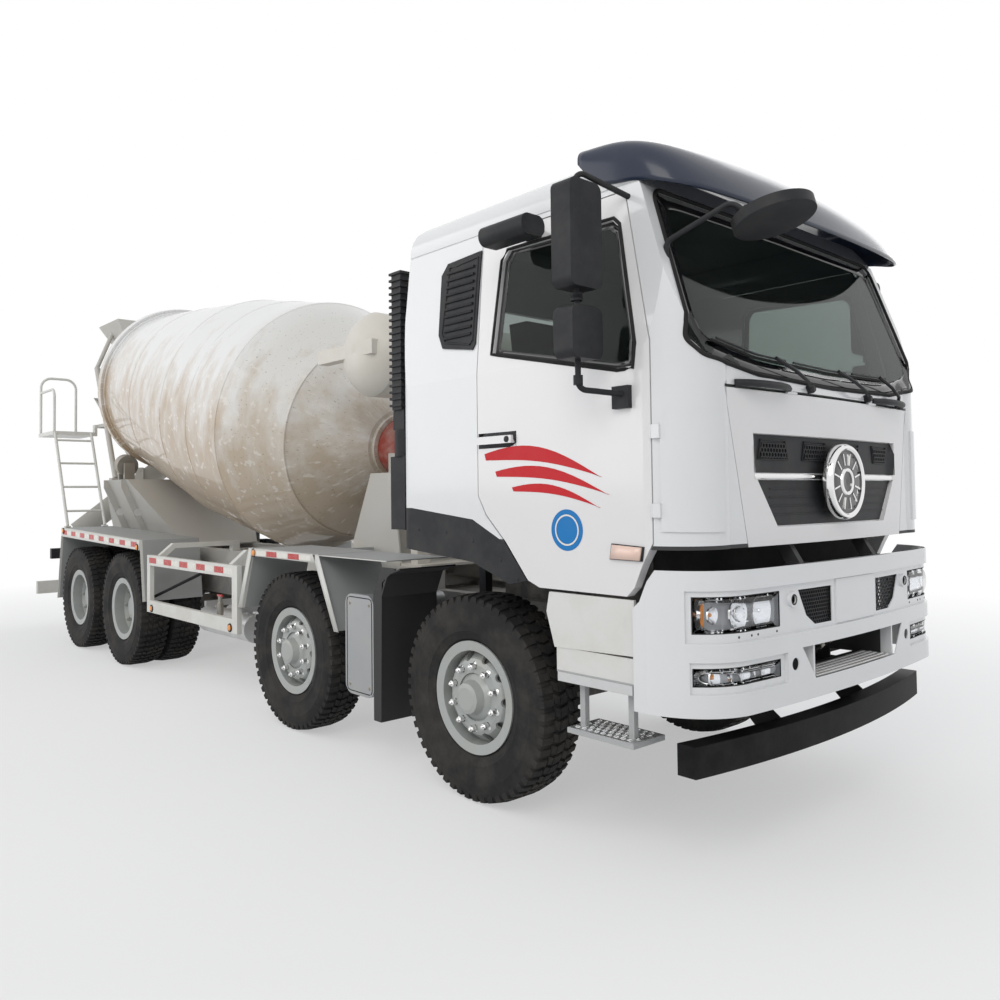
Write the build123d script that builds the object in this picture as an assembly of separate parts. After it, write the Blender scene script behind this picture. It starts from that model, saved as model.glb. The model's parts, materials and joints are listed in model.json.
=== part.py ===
"""Four-axle concrete mixer truck, in millimetres.

Stations (x) are measured forward from the first axle, y to the left and z up from the ground.
Every finished piece is moved back by half the overall length's offset when it is written, so that
the origin lies on the ground under the middle of the truck. The right-hand pieces are drawn at -y
and mirrored for the left.
"""

import os
from math import cos, pi, radians, sin

from build123d import *

# ---------------------------------------------------------------- overall
bumper_front = 1580.0  # foremost point of the bumper
rear_end = -8400.0  # rearmost point, the rear guard
half_width = 1250.0  # bumper and wings
fit = 0.3  # gap between pieces that sit on each other

# ---------------------------------------------------------------- wheels and axles
first_spread = 1920.0
middle_spread = 3220.0
bogie_spread = 1350.0
axle_1 = 0.0
axle_2 = axle_1 - first_spread
axle_3 = axle_2 - middle_spread
axle_4 = axle_3 - bogie_spread
tyre_radius = 560.0
tyre_width = 300.0
bead_radius = 262.0
flange_radius = 305.0
rim_width = 232.0
rim_wall = 10.0
front_track_half = 1020.0  # centre plane of a steered wheel
kingpin_y = 868.0
kingpin_radius = 22.0
twin_inner_y = 752.0
twin_outer_y = 1080.0
hub_bore = 45.3
spindle_radius = 45.0
brake_drum_radius = 205.0
disc_thick = 10.0
axle_end_radius = 60.0
stud_circle = 167.5
stud_count = 10

# ---------------------------------------------------------------- frame
rail_top = 1000.0
rail_depth = 300.0
rail_flange = 90.0
rail_wall = 9.0
rail_outer_y = 430.0
rail_front = 1230.0
rail_rear = -8150.0
tow_bolt = 10.5
subframe_depth = 140.0
subframe_width = 80.0
subframe_front = -1150.0
fender_wall = 5.0
spring_y = 385.0
spring_width = 80.0

# ---------------------------------------------------------------- cab
cab_half = 1235.0
cab_rear = -500.0
cab_front = 1490.0
cab_wall = 42.0
cab_floor = 1420.0
floor_thick = 36.0
door_bottom = 1210.0
door_thick = 52.0
door_rear_x = 170.0
door_front_x = 1262.0
gutter_z = 3066.0
roof_z = 3300.0
glass_thick = 6.0
panel_gap = 6.0
visor_half = 1194.0
visor_wall = 14.0
tilt_x = 1480.0
tilt_z = 1300.0
tilt_pin_radius = 18.0
flap_top = 2126.0
hinge_x = cab_front - 4.0
hinge_z = flap_top + 5.0
hinge_radius = 6.0
flap_swing_gap = 14.0
door_pin_x = door_front_x + panel_gap / 2
door_pin_y = cab_half + 3.0
door_pin_radius = 5.0
door_pin_z = (1590.0, 1930.0)

# ---------------------------------------------------------------- bumper
bumper_top = 1335.0
bumper_bottom = 720.0
bumper_wall = 5.0
bumper_sink = 16.0  # how far the lamp bands lie behind the face
upper_band = (1030.0, 1250.0)
lower_band = (818.0, 951.0)
band_end_y = 1190.0
headlamp = (1068.0, 1225.0)
fog_lamp = (848.0, 926.0)
lamp_inner_y = 690.0
lamp_outer_y = 1165.0
lamp_flange = 12.0
slot_top = 960.0
slot_bottom = 808.0
tread_thick = 16.0
tow_y = 600.0
tow_z = 1180.0
tow_bore = 18.0
tow_wall = 16.0
tow_face = 1562.0
tow_length = 80.0

# ---------------------------------------------------------------- drum
drum_angle = 11.5  # degrees above the horizontal, rising to the rear
drum_x = -2150.0
drum_z = 2080.0
drum_wall = 8.0
ring_station = 4450.0
ring_radius = 985.0
ring_width = 90.0
mouth_radius = 600.0
mouth_station = 5350.0
drum_radius = 1140.0
nose_radius = 300.0
head_station = 380.0
head_radius = 860.0
head_thick = 60.0
belt_start = 1050.0
belt_end = 2250.0
ring_seat_radius = 930.0
reducer_radius = 235.0
roller_radius = 125.0
roller_angle = 33.0
saddle_z = 1880.0
stand_wall = 14.0
stand_x = (-7560.0, -7000.0, -6250.0, -5400.0)  # foot, top, top, foot

# ---------------------------------------------------------------- water tank
tank_x = -1450.0
tank_z = 2670.0
tank_radius = 300.0
tank_half = 760.0
tank_dome = 150.0

# ---------------------------------------------------------------- rear end
swing_x = -7700.0
pin_z = 2010.0  # chute's pivot
pin_radius = 16.0
lug_out = 10.0
post_radius = 42.0
bearing_foot = rail_top + subframe_depth + 16
bearing_top = 1460.0
yoke_z = pin_z - 470.0
chute_rest = 55.0  # degrees to the right of straight back
chute_slope = 38.0
chute_length = 1100.0
chute_radius = 230.0
deck_z = 2500.0

# ---------------------------------------------------------------- round front mirror
mirror_x = 1720.0
mirror_z = 2800.0
mirror_radius = 165.0
mirror_thick = 46.0
mirror_tilt = 14.0  # degrees its face leans back from level

foremost = (
    mirror_x + mirror_radius * cos(radians(mirror_tilt)) + mirror_thick / 2 * sin(radians(mirror_tilt))
)
mid_x = (foremost + rear_end) / 2


def block(x0, x1, y0, y1, z0, z1):
    """A box between two corners."""
    return Pos((x0 + x1) / 2, (y0 + y1) / 2, (z0 + z1) / 2) * Box(x1 - x0, y1 - y0, z1 - z0)


def both(shape):
    """A right-hand shape and its mirror image on the left."""
    return [shape, shape.mirror(Plane.XZ)]


def prism_xz(points, y0, y1):
    """A side-view outline carried across from y0 to y1."""
    face = Face(Wire.make_polygon([(x, 0, z) for x, z in points], close=True))
    return Pos(0, y0, 0) * extrude(face, amount=y1 - y0, dir=(0, 1, 0))


def prism_yz(points, x0, x1):
    """A front-view outline carried along from x0 to x1."""
    face = Face(Wire.make_polygon([(0, y, z) for y, z in points], close=True))
    return Pos(x0, 0, 0) * extrude(face, amount=x1 - x0, dir=(1, 0, 0))


def prism_xy(points, z0, z1):
    """A plan outline carried up from z0 to z1."""
    face = Face(Wire.make_polygon([(x, y, 0) for x, y in points], close=True))
    return Pos(0, 0, z0) * extrude(face, amount=z1 - z0, dir=(0, 0, 1))


def turned(points):
    """A ring or disc about the wheel's own axle: points are (radius, distance outboard)."""
    face = Face(Wire.make_polygon([(r, y, 0) for r, y in points], close=True))
    return revolve(face, Axis.Y, 360)


def rod(start, end, radius):
    """A round bar from one point to another."""
    a, b = Vector(*start), Vector(*end)
    return Plane(origin=a, z_dir=(b - a).normalized()) * Cylinder(
        radius, (b - a).length, align=(Align.CENTER, Align.CENTER, Align.MIN)
    )


def cross_rod(x, z, y0, y1, radius):
    """A round bar across the truck."""
    return rod((x, y0, z), (x, y1, z), radius)


def pipe(points, radius, bend):
    """A bent tube, solid, through the points with one bend radius."""
    path = FilletPolyline(*points, radius=bend)
    start = Plane(origin=path @ 0, z_dir=path % 0)
    return sweep(start * Circle(radius), path=path)


def join(*shapes):
    """One solid from pieces that touch."""
    whole = shapes[0]
    for shape in shapes[1:]:
        whole = whole + shape
    return whole


def save(name, *shapes):
    """Writes one node. Its solids are kept apart."""
    solids = []
    for shape in shapes:
        for one in shape if isinstance(shape, list) else [shape]:
            solids += list(one.solids())
    moved = Pos(-mid_x, 0, 0) * Compound(solids)
    os.makedirs("parts", exist_ok=True)
    export_step(moved, f"parts/{name}.step")


# ================================================================ wheels
def tyre():
    """Carcass from bead to bead with rounded shoulders, about Y at the origin."""
    half, rim_half = tyre_width / 2, rim_width / 2 - 22
    shoulder, tread_crown = 36.0, 12.0
    side = tyre_radius - 130
    profile = [
        (bead_radius + fit, -rim_half),
        (flange_radius + 4, -rim_half - 8),
        (side, -half),
        (tyre_radius - shoulder, -half + 8),
        (tyre_radius - tread_crown, -half + shoulder),
        (tyre_radius, -half / 3),
        (tyre_radius, half / 3),
        (tyre_radius - tread_crown, half - shoulder),
        (tyre_radius - shoulder, half - 8),
        (side, half),
        (flange_radius + 4, rim_half + 8),
        (bead_radius + fit, rim_half),
    ]
    return turned(profile)


def rim():
    """Barrel with flanges, about Y at the origin."""
    w = rim_width / 2
    return turned(
        [
            (bead_radius - rim_wall, -w + 2),
            (flange_radius, -w - 4),
            (flange_radius, -w + 8),
            (bead_radius, -w + 18),
            (bead_radius, w - 18),
            (flange_radius, w - 8),
            (flange_radius, w + 4),
            (bead_radius - rim_wall, w - 2),
        ]
    )


def hand_holes(radius, count, hole, y0, y1):
    """Round holes in a wheel disc."""
    return [
        rod((radius * cos(a), y0, radius * sin(a)), (radius * cos(a), y1, radius * sin(a)), hole)
        for a in (2 * pi * k / count for k in range(count))
    ]


def steer_wheel():
    """Steered wheel at the origin, outboard along +Y: domed disc, hub and brake drum on the spindle."""
    dish = turned(
        [
            (bead_radius - rim_wall, -20),
            (bead_radius - 2, -20),
            (bead_radius - 2, 20),
            (205, 92),
            (180, 104),
            (130, 104),
            (130, 92),
            (178, 92),
            (198, 80),
        ]
    )
    wheel = rim() + dish
    for hole in hand_holes(222, 10, 26, 20, 110):
        wheel = wheel - hole
    hub = turned(
        [
            (hub_bore, -78),
            (86, -78),
            (92, 40),
            (150, 70),
            (150, 92),
            (128, 92),
            (96, 120),
            (82, 165),
            (60, 172),
            (0, 172),
            (0, 132),
            (hub_bore, 132),
        ]
    )
    r = brake_drum_radius
    drum = turned([(hub_bore, -78), (r, -78), (r, 40), (150, 60), (150, 71), (hub_bore, 71)])
    nuts = [
        rod(
            (stud_circle * cos(a), 90, stud_circle * sin(a)),
            (stud_circle * cos(a), 132, stud_circle * sin(a)),
            16,
        )
        for a in (2 * pi * (k + 0.5) / stud_count for k in range(stud_count))
    ]
    return join(wheel, hub, drum, *nuts)


def twin_half():
    """Outer wheel of a pair: barrel, cone and flat centre, on the mounting plane, outboard along +Y."""
    offset = (twin_outer_y - twin_inner_y) / 2
    cone = turned(
        [
            (bead_radius - rim_wall, offset + 14),
            (bead_radius - 2, offset + 14),
            (bead_radius - 2, offset - 20),
            (205, disc_thick),
            (118, 0),
            (118, disc_thick),
            (196, disc_thick + 12),
        ]
    )
    half = Pos(0, offset, 0) * rim() + cone
    for hole in hand_holes(226, 10, 24, 5, offset + 30):
        half = half - hole
    return half


def twin_wheel():
    """Pair of driven wheels at the origin of their shared mounting plane, outboard along +Y."""
    half = twin_half()
    web = turned([(118, -disc_thick), (206, -disc_thick), (206, disc_thick), (118, disc_thick)])
    bore = axle_end_radius + fit
    barrel = [(bore, -250), (100, -250), (125, -20), (125, 60), (110, 190), (70, 200)]
    hub = turned(barrel + [(0, 200), (0, 20), (bore, 20)])
    r = brake_drum_radius
    drum = turned([(98, -250), (r, -250), (r, -60), (150, -9), (118, -9), (98, -60)])
    nuts = [
        rod(
            (stud_circle * cos(a), -5, stud_circle * sin(a)),
            (stud_circle * cos(a), 45, stud_circle * sin(a)),
            16,
        )
        for a in (2 * pi * (k + 0.5) / stud_count for k in range(stud_count))
    ]
    return join(half, half.mirror(Plane.XZ), web, hub, drum, *nuts)


def knuckle():
    """Steering knuckle at the origin of its kingpin, spindle along +Y."""
    reach = front_track_half - kingpin_y
    ear = [(-48, -45), (48, -45), (48, 62), (-48, 62)]
    upper = prism_xy([(x, y) for x, y in ear], 58, 92)
    lower = prism_xy([(x, y) for x, y in ear], -92, -58)
    plate = block(-70, 70, 56, 68, -92, 92)
    pin = rod((0, 0, -110), (0, 0, 110), kingpin_radius)
    spindle = rod((0, 60, 0), (0, reach + 126, 0), spindle_radius)
    arm = block(-230, -40, -10, 30, -92, -66)
    return join(upper, lower, plate, pin, spindle, arm)


def place_wheels():
    """Every wheel, tyre and knuckle, right side drawn and mirrored left."""
    front_tyre, front_wheel, one_knuckle = tyre(), steer_wheel(), knuckle()
    pair = twin_wheel()
    mount_y = (twin_inner_y + twin_outer_y) / 2
    flip = Rot(0, 0, 180)
    for number, x in ((1, axle_1), (2, axle_2)):
        centre = Pos(x, -front_track_half, tyre_radius) * flip
        pin = Pos(x, -kingpin_y, tyre_radius)
        for side, name in enumerate(("right", "left")):
            parts = {
                f"tyre_{number}_{name}": centre * front_tyre,
                f"wheel_{number}_{name}": centre * front_wheel,
                f"knuckle_{number}_{name}": pin * one_knuckle.mirror(Plane.XZ),
            }
            for node, shape in parts.items():
                save(node, both(shape)[side])
    for number, x in ((3, axle_3), (4, axle_4)):
        for side, name in enumerate(("right", "left")):
            tyres = [Pos(x, -y, tyre_radius) * front_tyre for y in (twin_inner_y, twin_outer_y)]
            wheel = Pos(x, -mount_y, tyre_radius) * flip * pair
            save(f"tyres_{number}_{name}", [both(t)[side] for t in tyres])
            save(f"wheel_{number}_{name}", both(wheel)[side])


# ================================================================ chassis
def frame():
    """Two channel rails and their cross members, joined."""
    channel = [
        (-rail_outer_y, rail_top - rail_depth),
        (-rail_outer_y + rail_flange, rail_top - rail_depth),
        (-rail_outer_y + rail_flange, rail_top - rail_depth + rail_wall),
        (-rail_outer_y + rail_wall, rail_top - rail_depth + rail_wall),
        (-rail_outer_y + rail_wall, rail_top - rail_wall),
        (-rail_outer_y + rail_flange, rail_top - rail_wall),
        (-rail_outer_y + rail_flange, rail_top),
        (-rail_outer_y, rail_top),
    ]
    rails = both(prism_yz(channel, rail_rear, rail_front))
    inner = rail_outer_y - rail_wall
    members = []
    for x in (1120, -1700, -3300, -4300, axle_3 - bogie_spread / 2, -7300, rail_rear + 200):
        members.append(block(x - 45, x + 45, -inner, inner, rail_top - 240, rail_top - 60))
    plate = block(rail_rear, rail_rear + 12, -inner, inner, 720, 980)
    for y in (-80, 80):
        for z in (800, 900):
            plate = plate - rod((rail_rear - 5, y, z), (rail_rear + 20, y, z), tow_bolt)
    return join(*rails, *members, plate)


def tilt_brackets():
    """Ears on the frame's front that carry the cab's hinge pins."""
    outline = [
        (rail_front - 200, rail_top),
        (rail_front, rail_top),
        (tilt_x - 100, tilt_z - 190),
        (tilt_x + 30, tilt_z - 30),
        (tilt_x + 30, tilt_z + 30),
        (tilt_x - 30, tilt_z + 34),
        (tilt_x - 90, tilt_z - 10),
    ]
    ears = [prism_xz(outline, y0, y0 + 16) for y0 in (-rail_outer_y, -rail_outer_y + 60)]
    pin = cross_rod(tilt_x, tilt_z, -rail_outer_y - 6, -rail_outer_y + 82, tilt_pin_radius)
    return both(join(ears[0], ears[1], pin))


def front_axles():
    """Two dropped I-beams with an eye for each kingpin."""
    beams = []
    for x in (axle_1, axle_2):
        z = tyre_radius
        outline = [
            (-kingpin_y, z - 54),
            (-650, z - 54),
            (-520, z - 130),
            (520, z - 130),
            (650, z - 54),
            (kingpin_y, z - 54),
            (kingpin_y, z + 54),
            (640, z + 54),
            (500, z - 30),
            (-500, z - 30),
            (-640, z + 54),
            (-kingpin_y, z + 54),
        ]
        beam = prism_yz(outline, x - 45, x + 45)
        for y in (-kingpin_y, kingpin_y):
            beam = beam + rod((x, y, z - 56), (x, y, z + 56), 45)
            beam = beam - rod((x, y, z - 60), (x, y, z + 60), kingpin_radius + fit)
        beams.append(beam)
    return beams


def drive_axles():
    """Two banjo housings with spindle ends."""
    housings = []
    for x in (axle_3, axle_4):
        z = tyre_radius
        end = (twin_inner_y + twin_outer_y) / 2
        tube = rod((x, -640, z), (x, 640, z), 78)
        spindles = rod((x, -end + 25, z), (x, end - 25, z), axle_end_radius)
        bowl = rod((x - 150, 0, z), (x + 190, 0, z), 215)
        nose = rod((x + 190, 0, z + 20), (x + 330, 0, z + 60), 95)
        housings.append(join(tube, spindles, bowl, nose))
    return housings


def leaf(x, half, y0, top, thick):
    """One flat spring leaf."""
    return block(x - half, x + half, y0, y0 + spring_width, top - thick, top)


def springs():
    """Leaf packs: table of half lengths, longest first on the steered axles, shortest first on the bogie."""
    inner_y = -spring_y - spring_width / 2
    hanger_z = rail_top - rail_depth
    packs = []
    for x in (axle_1, axle_2):
        top = hanger_z - 40
        pack = block(x - 90, x + 90, inner_y, inner_y + spring_width, tyre_radius - 30, top)
        for half in (760, 640, 480, 320):
            pack = pack + leaf(x, half, inner_y, top, 20)
            top -= 20
        for s in (-700, 700):
            hanger = block(x + s - 40, x + s + 40, inner_y, inner_y + spring_width, hanger_z - 40, hanger_z)
            pack = pack + hanger
        packs += both(pack)
    middle = (axle_3 + axle_4) / 2
    outer_y = -rail_outer_y - 125
    top = 800.0
    pack = block(middle - 130, middle + 130, outer_y, -rail_outer_y - fit, 560, 860)
    for half in (320, 480, 640, bogie_spread / 2 + 60):
        pack = pack + leaf(middle, half, outer_y, top, 30)
        top -= 30
    for x in (axle_3, axle_4):
        pack = pack + block(x - 60, x + 60, outer_y, outer_y + spring_width, tyre_radius + 78 + fit, top)
    return packs + both(pack)


def engine():
    """Engine and gearbox as one plain block."""
    motor = block(-560, 780, -330, 330, 640, 1330)
    gearbox = block(-1450, -560, -230, 230, 640, 960)
    web = rail_outer_y - rail_wall - fit
    feet = [block(x, x + 110, -web, web, 820, 880) for x in (-420, 480)]
    return join(motor, gearbox, *feet)


def tanks():
    """Fuel tank on the left, air receivers between the rails, battery box."""
    fuel = block(-4300, -3050, 560, 1150, 480, 1020)
    fuel = fillet(fuel.edges().filter_by(Axis.X), 90)
    straps = [block(x, x + 50, rail_outer_y + fit, 565, 600, 980) for x in (-4150, -3250)]
    return join(fuel, *straps)


def air_tanks():
    """Two air receivers slung under the right rail, behind the second axle."""
    tanks_ = []
    for y, z in ((-600, 560), (-850, 560)):
        tanks_.append(rod((-3900, y, z), (-3000, y, z), 118))
    carrier = [block(x, x + 40, -970, -rail_outer_y - fit, 690, 740) for x in (-3750, -3150)]
    posts = [block(x, x + 40, y - 20, y + 20, 660, 700) for x in (-3750, -3150) for y in (-600, -850)]
    return join(*tanks_, *carrier, *posts)


def silencer_box():
    """Box with a bolted cover plate behind the first wheel on the right."""
    body = block(-1110, -825, -1180, -620, 430, 1030)
    body = fillet(body.edges().filter_by(Axis.Y), 60)
    cover = block(-1125, -815, -1215, -1180, 415, 1045)
    cover = fillet(cover.edges().filter_by(Axis.Y), 70)
    arm = block(-1010, -930, -625, -rail_outer_y - fit, 800, 900)
    return join(body, cover, arm)


def intake():
    """Air intake stack behind the cab on the right: louvred duct, bellows and foot."""
    duct = block(-640, -550, -1190, -1070, 2180, 3020)
    neck = block(-650, -545, -1175, -1085, 2060, 2180)
    bellows = rod((-597, -1130, 1900), (-597, -1130, 2060), 62)
    foot = block(-680, -540, -1175, -1080, 1560, 1900)
    elbow = block(-680, -540, -1175, -rail_outer_y - fit, 1460, 1560)
    stay = block(-640, -580, -rail_outer_y - 60, -rail_outer_y - fit, 700, 1480)
    ribs = [block(-652, -538, -1202, -1058, z, z + 14) for z in range(2200, 3010, 40)]
    return join(duct, neck, bellows, foot, elbow, stay, *ribs)


# ================================================================ front end
def bumper_plan(inset):
    """Plan outline of the bumper, corner arcs into a slightly bowed front."""
    w, f = half_width - inset, bumper_front - inset
    edge = Wire(
        [
            Line((1164, -w, 0), (1230, -w, 0)),
            ThreePointArc((1230, -w, 0), (1430, -w + 95, 0), (f - 40, -w + 330, 0)),
            ThreePointArc((f - 40, -w + 330, 0), (f, 0, 0), (f - 40, w - 330, 0)),
            ThreePointArc((f - 40, w - 330, 0), (1430, w - 95, 0), (1230, w, 0)),
            Line((1230, w, 0), (1164, w, 0)),
            Line((1164, w, 0), (1164, -w, 0)),
        ]
    )
    return Face(edge)


def bumper_form(inset, z0, z1):
    """The bumper's plan form between two heights, offset inwards."""
    return Pos(0, 0, z0) * extrude(bumper_plan(inset), amount=z1 - z0, dir=(0, 0, 1))


def sunk_band(shell, y0, y1, z0, z1):
    """Sets a band of the bumper's face back by bumper_sink, with returns all round."""
    w = bumper_wall
    window = block(1300, 1700, y0, y1, z0, z1)
    frame_ = block(1300, 1700, y0 - w, y1 + w, z0 - w, z1 + w)
    deep = bumper_form(bumper_sink + w, z0 - 20, z1 + 20)
    whole = bumper_form(0, z0 - 20, z1 + 20)
    back = (bumper_form(bumper_sink, z0 - 20, z1 + 20) - deep) & frame_
    returns = (whole - deep) & (frame_ - window)
    return (shell - window) + returns + back


def bumper():
    """Hollow front bumper: sunk lamp bands, mesh windows, step slot, blank plate and tow sockets."""
    height = bumper_top - bumper_bottom
    shell = bumper_form(0, bumper_bottom, bumper_top)
    shell = shell - bumper_form(bumper_wall, bumper_bottom - 10, bumper_top + 10)
    wing = [(1164, 1163), (1200, 1195), (1240, 1285), (1290, bumper_top + 20)]
    wing += [(1100, bumper_top + 20), (1100, 1163)]
    shell = shell - prism_xz(wing, -half_width - 20, half_width + 20)
    shell = sunk_band(shell, -band_end_y, band_end_y, *upper_band)
    for side in (-1, 1):
        inner, outer = side * (lamp_inner_y - 30), side * (band_end_y - 10)
        shell = sunk_band(shell, min(inner, outer), max(inner, outer), *lower_band)
        for z0, z1 in (headlamp, fog_lamp):
            edges = sorted((side * lamp_inner_y, side * lamp_outer_y))
            shell = shell - block(1300, 1700, *edges, z0, z1)
        mesh = [(-540, 1218), (-240, 1218), (-240, 1050), (-400, 1050), (-475, 1097)]
        shell = shell - prism_yz([(-side * y, z) for y, z in mesh], 1300, 1700)
        shell = shell - rod((1500, side * tow_y, 893), (1700, side * tow_y, 893), tow_bore + 10)
    slot = [(-540, slot_top), (-430, slot_bottom), (430, slot_bottom), (540, slot_top)]
    shell = shell - prism_yz(slot, 1300, 1700)
    tread = bumper_form(1, slot_bottom - tread_thick, slot_bottom) & block(1380, 1700, -440, 440, 700, 900)
    plate = bumper_form(bumper_sink - 6, 1036, 1244) - bumper_form(bumper_sink + 1, 1000, 1300)
    plate = plate & block(1500, 1700, -205, 205, 1000, 1300)
    flange = bumper_form(1, bumper_top - 6, bumper_top) & block(1550, 1700, -1000, 1000, 1200, 1400)
    bracket_y = -rail_outer_y
    brackets = both(block(rail_front + fit, 1560, bracket_y, bracket_y + 14, slot_bottom - 10, 1000))
    beam = block(1460, 1545, -620, 620, 985, 1045)
    sockets = []
    back = tow_face - tow_length
    for y in (-tow_y, tow_y):
        sockets.append(rod((back, y, tow_z), (tow_face, y, tow_z), tow_bore + tow_wall))
        sockets.append(block(back, tow_face - 30, y - 12, y + 12, 1040, tow_z - tow_bore - 4))
    whole = join(shell, flange, tread, plate, beam, *brackets, *sockets)
    for y in (-tow_y, tow_y):
        whole = whole - rod((back - 10, y, tow_z), (tow_face + 40, y, tow_z), tow_bore)
    return whole


def lamps():
    """Headlamp and fog lamp units behind the bumper's bands, their lenses standing in the openings."""
    made = []
    for z0, z1 in (headlamp, fog_lamp):
        rim_ = lamp_flange
        flange = block(1330, 1700, -lamp_outer_y - rim_, -lamp_inner_y + rim_, z0 - rim_, z1 + rim_)
        housing = flange & bumper_form(bumper_sink + bumper_wall + fit, 700, 1400)
        face = block(1330, 1700, -lamp_outer_y + fit, -lamp_inner_y - fit, z0 + fit, z1 - fit)
        lens = face & bumper_form(bumper_sink, 700, 1400)
        made += both(join(housing, lens))
    return made


def underrun_bar():
    """Front underrun bar: bowed box section on two brackets."""
    half = 1150
    outer = Face(Wire([
        ThreePointArc((1400, -half, 0), (1500, 0, 0), (1400, half, 0)),
        Line((1400, half, 0), (1310, half, 0)),
        ThreePointArc((1310, half, 0), (1410, 0, 0), (1310, -half, 0)),
        Line((1310, -half, 0), (1400, -half, 0)),
    ]))
    bar = Pos(0, 0, 460) * extrude(outer, amount=135, dir=(0, 0, 1))
    arm = [(1180, 760), (1180, 940), (1120, 940), (1120, 700), (1330, 470), (1400, 470), (1400, 590)]
    return join(bar, *both(prism_xz(arm, -rail_outer_y - 16, -rail_outer_y - fit)))


def cab_steps():
    """Side panel, upper tread and hinged lower tread under each door."""
    panel = prism_xz([(690, 935), (1158, 950), (1158, 1195), (660, 1195), (640, 1100)], -1232, -1215)
    band = block(700, 1158, -1228, -1190, 820, 938)
    tread = block(715, 1150, -1240, -1000, 780, 822)
    lower = block(770, 1150, -1240, -1010, 548, 572)
    hangers = [block(x, x + 30, -1180, -1150, 560, 800) for x in (800, 1080)]
    stay = block(1000, 1060, -1195, -rail_outer_y - fit, 830, 900)
    return both(join(panel, band, tread, lower, *hangers, stay))


def mudguards():
    """Curved guards behind the first wheels."""
    inner = [(-520, 1225), (-640, 1190), (-705, 1050), (-715, 300)]
    outer = [(-725, 300), (-715, 1055), (-648, 1200), (-520, 1235)]
    guard = prism_xz(inner + outer, -half_width + 15, -800)
    flange = [(-560, 1232), (-700, 1140), (-715, 300), (-790, 300), (-790, 1060), (-700, 1232)]
    lip = prism_xz(flange, -half_width + 15, -half_width + 25)
    stay = block(-780, -722, -half_width + 24, -rail_outer_y - fit, 900, 950)
    return both(join(guard, lip, stay))


# ================================================================ cab
def cab_side(inset):
    """Side outline of the cab, offset inwards."""
    outline = Wire.make_polygon(
        [
            (cab_rear, 0, 1000),
            (cab_front, 0, 1000),
            (cab_front, 0, 2140),
            (1190, 0, 3050),
            (1090, 0, 3190),
            (880, 0, roof_z - 16),
            (300, 0, roof_z),
            (-330, 0, roof_z - 26),
            (-440, 0, roof_z - 90),
            (cab_rear + 30, 0, gutter_z),
            (cab_rear, 0, 2400),
        ],
        close=True,
    )
    face = Face(outline)
    if inset:
        face = offset(face, -inset, kind=Kind.INTERSECTION).faces()[0]
    return Pos(0, -1400, 0) * extrude(face, amount=2800, dir=(0, 1, 0))


def cab_plan(inset):
    """Plan outline of the cab with round front corners, offset inwards."""
    w, f, r = cab_half - inset, cab_front - inset, cab_rear + inset
    edge = Wire(
        [
            Line((r + 70, -w, 0), (1200, -w, 0)),
            ThreePointArc((1200, -w, 0), (1392 - inset * 0.7, -w + 78, 0), (f - 38, -w + 300, 0)),
            ThreePointArc((f - 38, -w + 300, 0), (f, 0, 0), (f - 38, w - 300, 0)),
            ThreePointArc((f - 38, w - 300, 0), (1392 - inset * 0.7, w - 78, 0), (1200, w, 0)),
            Line((1200, w, 0), (r + 70, w, 0)),
            ThreePointArc((r + 70, w, 0), (r + 21, w - 21, 0), (r, w - 70, 0)),
            Line((r, w - 70, 0), (r, -w + 70, 0)),
            ThreePointArc((r, -w + 70, 0), (r + 21, -w + 21, 0), (r + 70, -w, 0)),
        ]
    )
    return extrude(Face(edge), amount=4000, dir=(0, 0, 1))


def cab_section(inset):
    """Front-view outline with tumblehome and a crowned roof, offset inwards."""
    w, gutter_y = cab_half - inset, cab_half - inset - 62
    bend_y, bend_z = w - 92, roof_z - 100 - inset * 0.6
    edge_y, edge_z = w - 210, roof_z - 38 - inset
    edge = Wire(
        [
            Line((0, -w, 0), (0, -w, 2300)),
            Line((0, -w, 2300), (0, -gutter_y, gutter_z)),
            ThreePointArc((0, -gutter_y, gutter_z), (0, -bend_y, bend_z), (0, -edge_y, edge_z)),
            ThreePointArc((0, -edge_y, edge_z), (0, 0, roof_z + 6 - inset), (0, edge_y, edge_z)),
            ThreePointArc((0, edge_y, edge_z), (0, bend_y, bend_z), (0, gutter_y, gutter_z)),
            Line((0, gutter_y, gutter_z), (0, w, 2300)),
            Line((0, w, 2300), (0, w, 0)),
            Line((0, w, 0), (0, -w, 0)),
        ]
    )
    return Pos(-1000, 0, 0) * extrude(Face(edge), amount=3000, dir=(1, 0, 0))


def cab_volume(inset):
    """The cab's outer form, offset inwards, from z 1000 up."""
    return (cab_side(inset) & cab_plan(inset)) & cab_section(inset)


def door_outline(grow):
    """Door shut line in side view: straight sides, arch cut at the lower rear."""
    g = grow
    return [
        (door_rear_x - g, 1660 - g * 0.4),
        (230 - g, 1560 - g),
        (370 - g, 1425 - g),
        (523 - g, 1240 - g),
        (600 - g, door_bottom - g),
        (1125 + g * 0.4, door_bottom - g),
        (1165 + g, 1250 - g * 0.4),
        (1210 + g, 1350),
        (door_front_x + g, 1448 - g * 0.4),
        (door_front_x + g, 2330 + g * 0.2),
        (1110 + g, 3010 + g * 0.4),
        (1090 + g * 0.5, 3035 + g),
        (door_rear_x + 20 - g * 0.6, 3035 + g),
        (door_rear_x - g, 3010 + g * 0.4),
    ]


def window_outline(shrink):
    """Door window opening in side view."""
    s = shrink
    return [
        (285 + s, 2400 + s),
        (1085, 2225 + s),
        (1170 - s, 2225 + s),
        (1180 - s, 2330),
        (1075 - s, 2880 - s),
        (1040 - s, 2915 - s),
        (370 + s, 2930 - s),
        (330 + s, 2880 - s),
    ]


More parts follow.
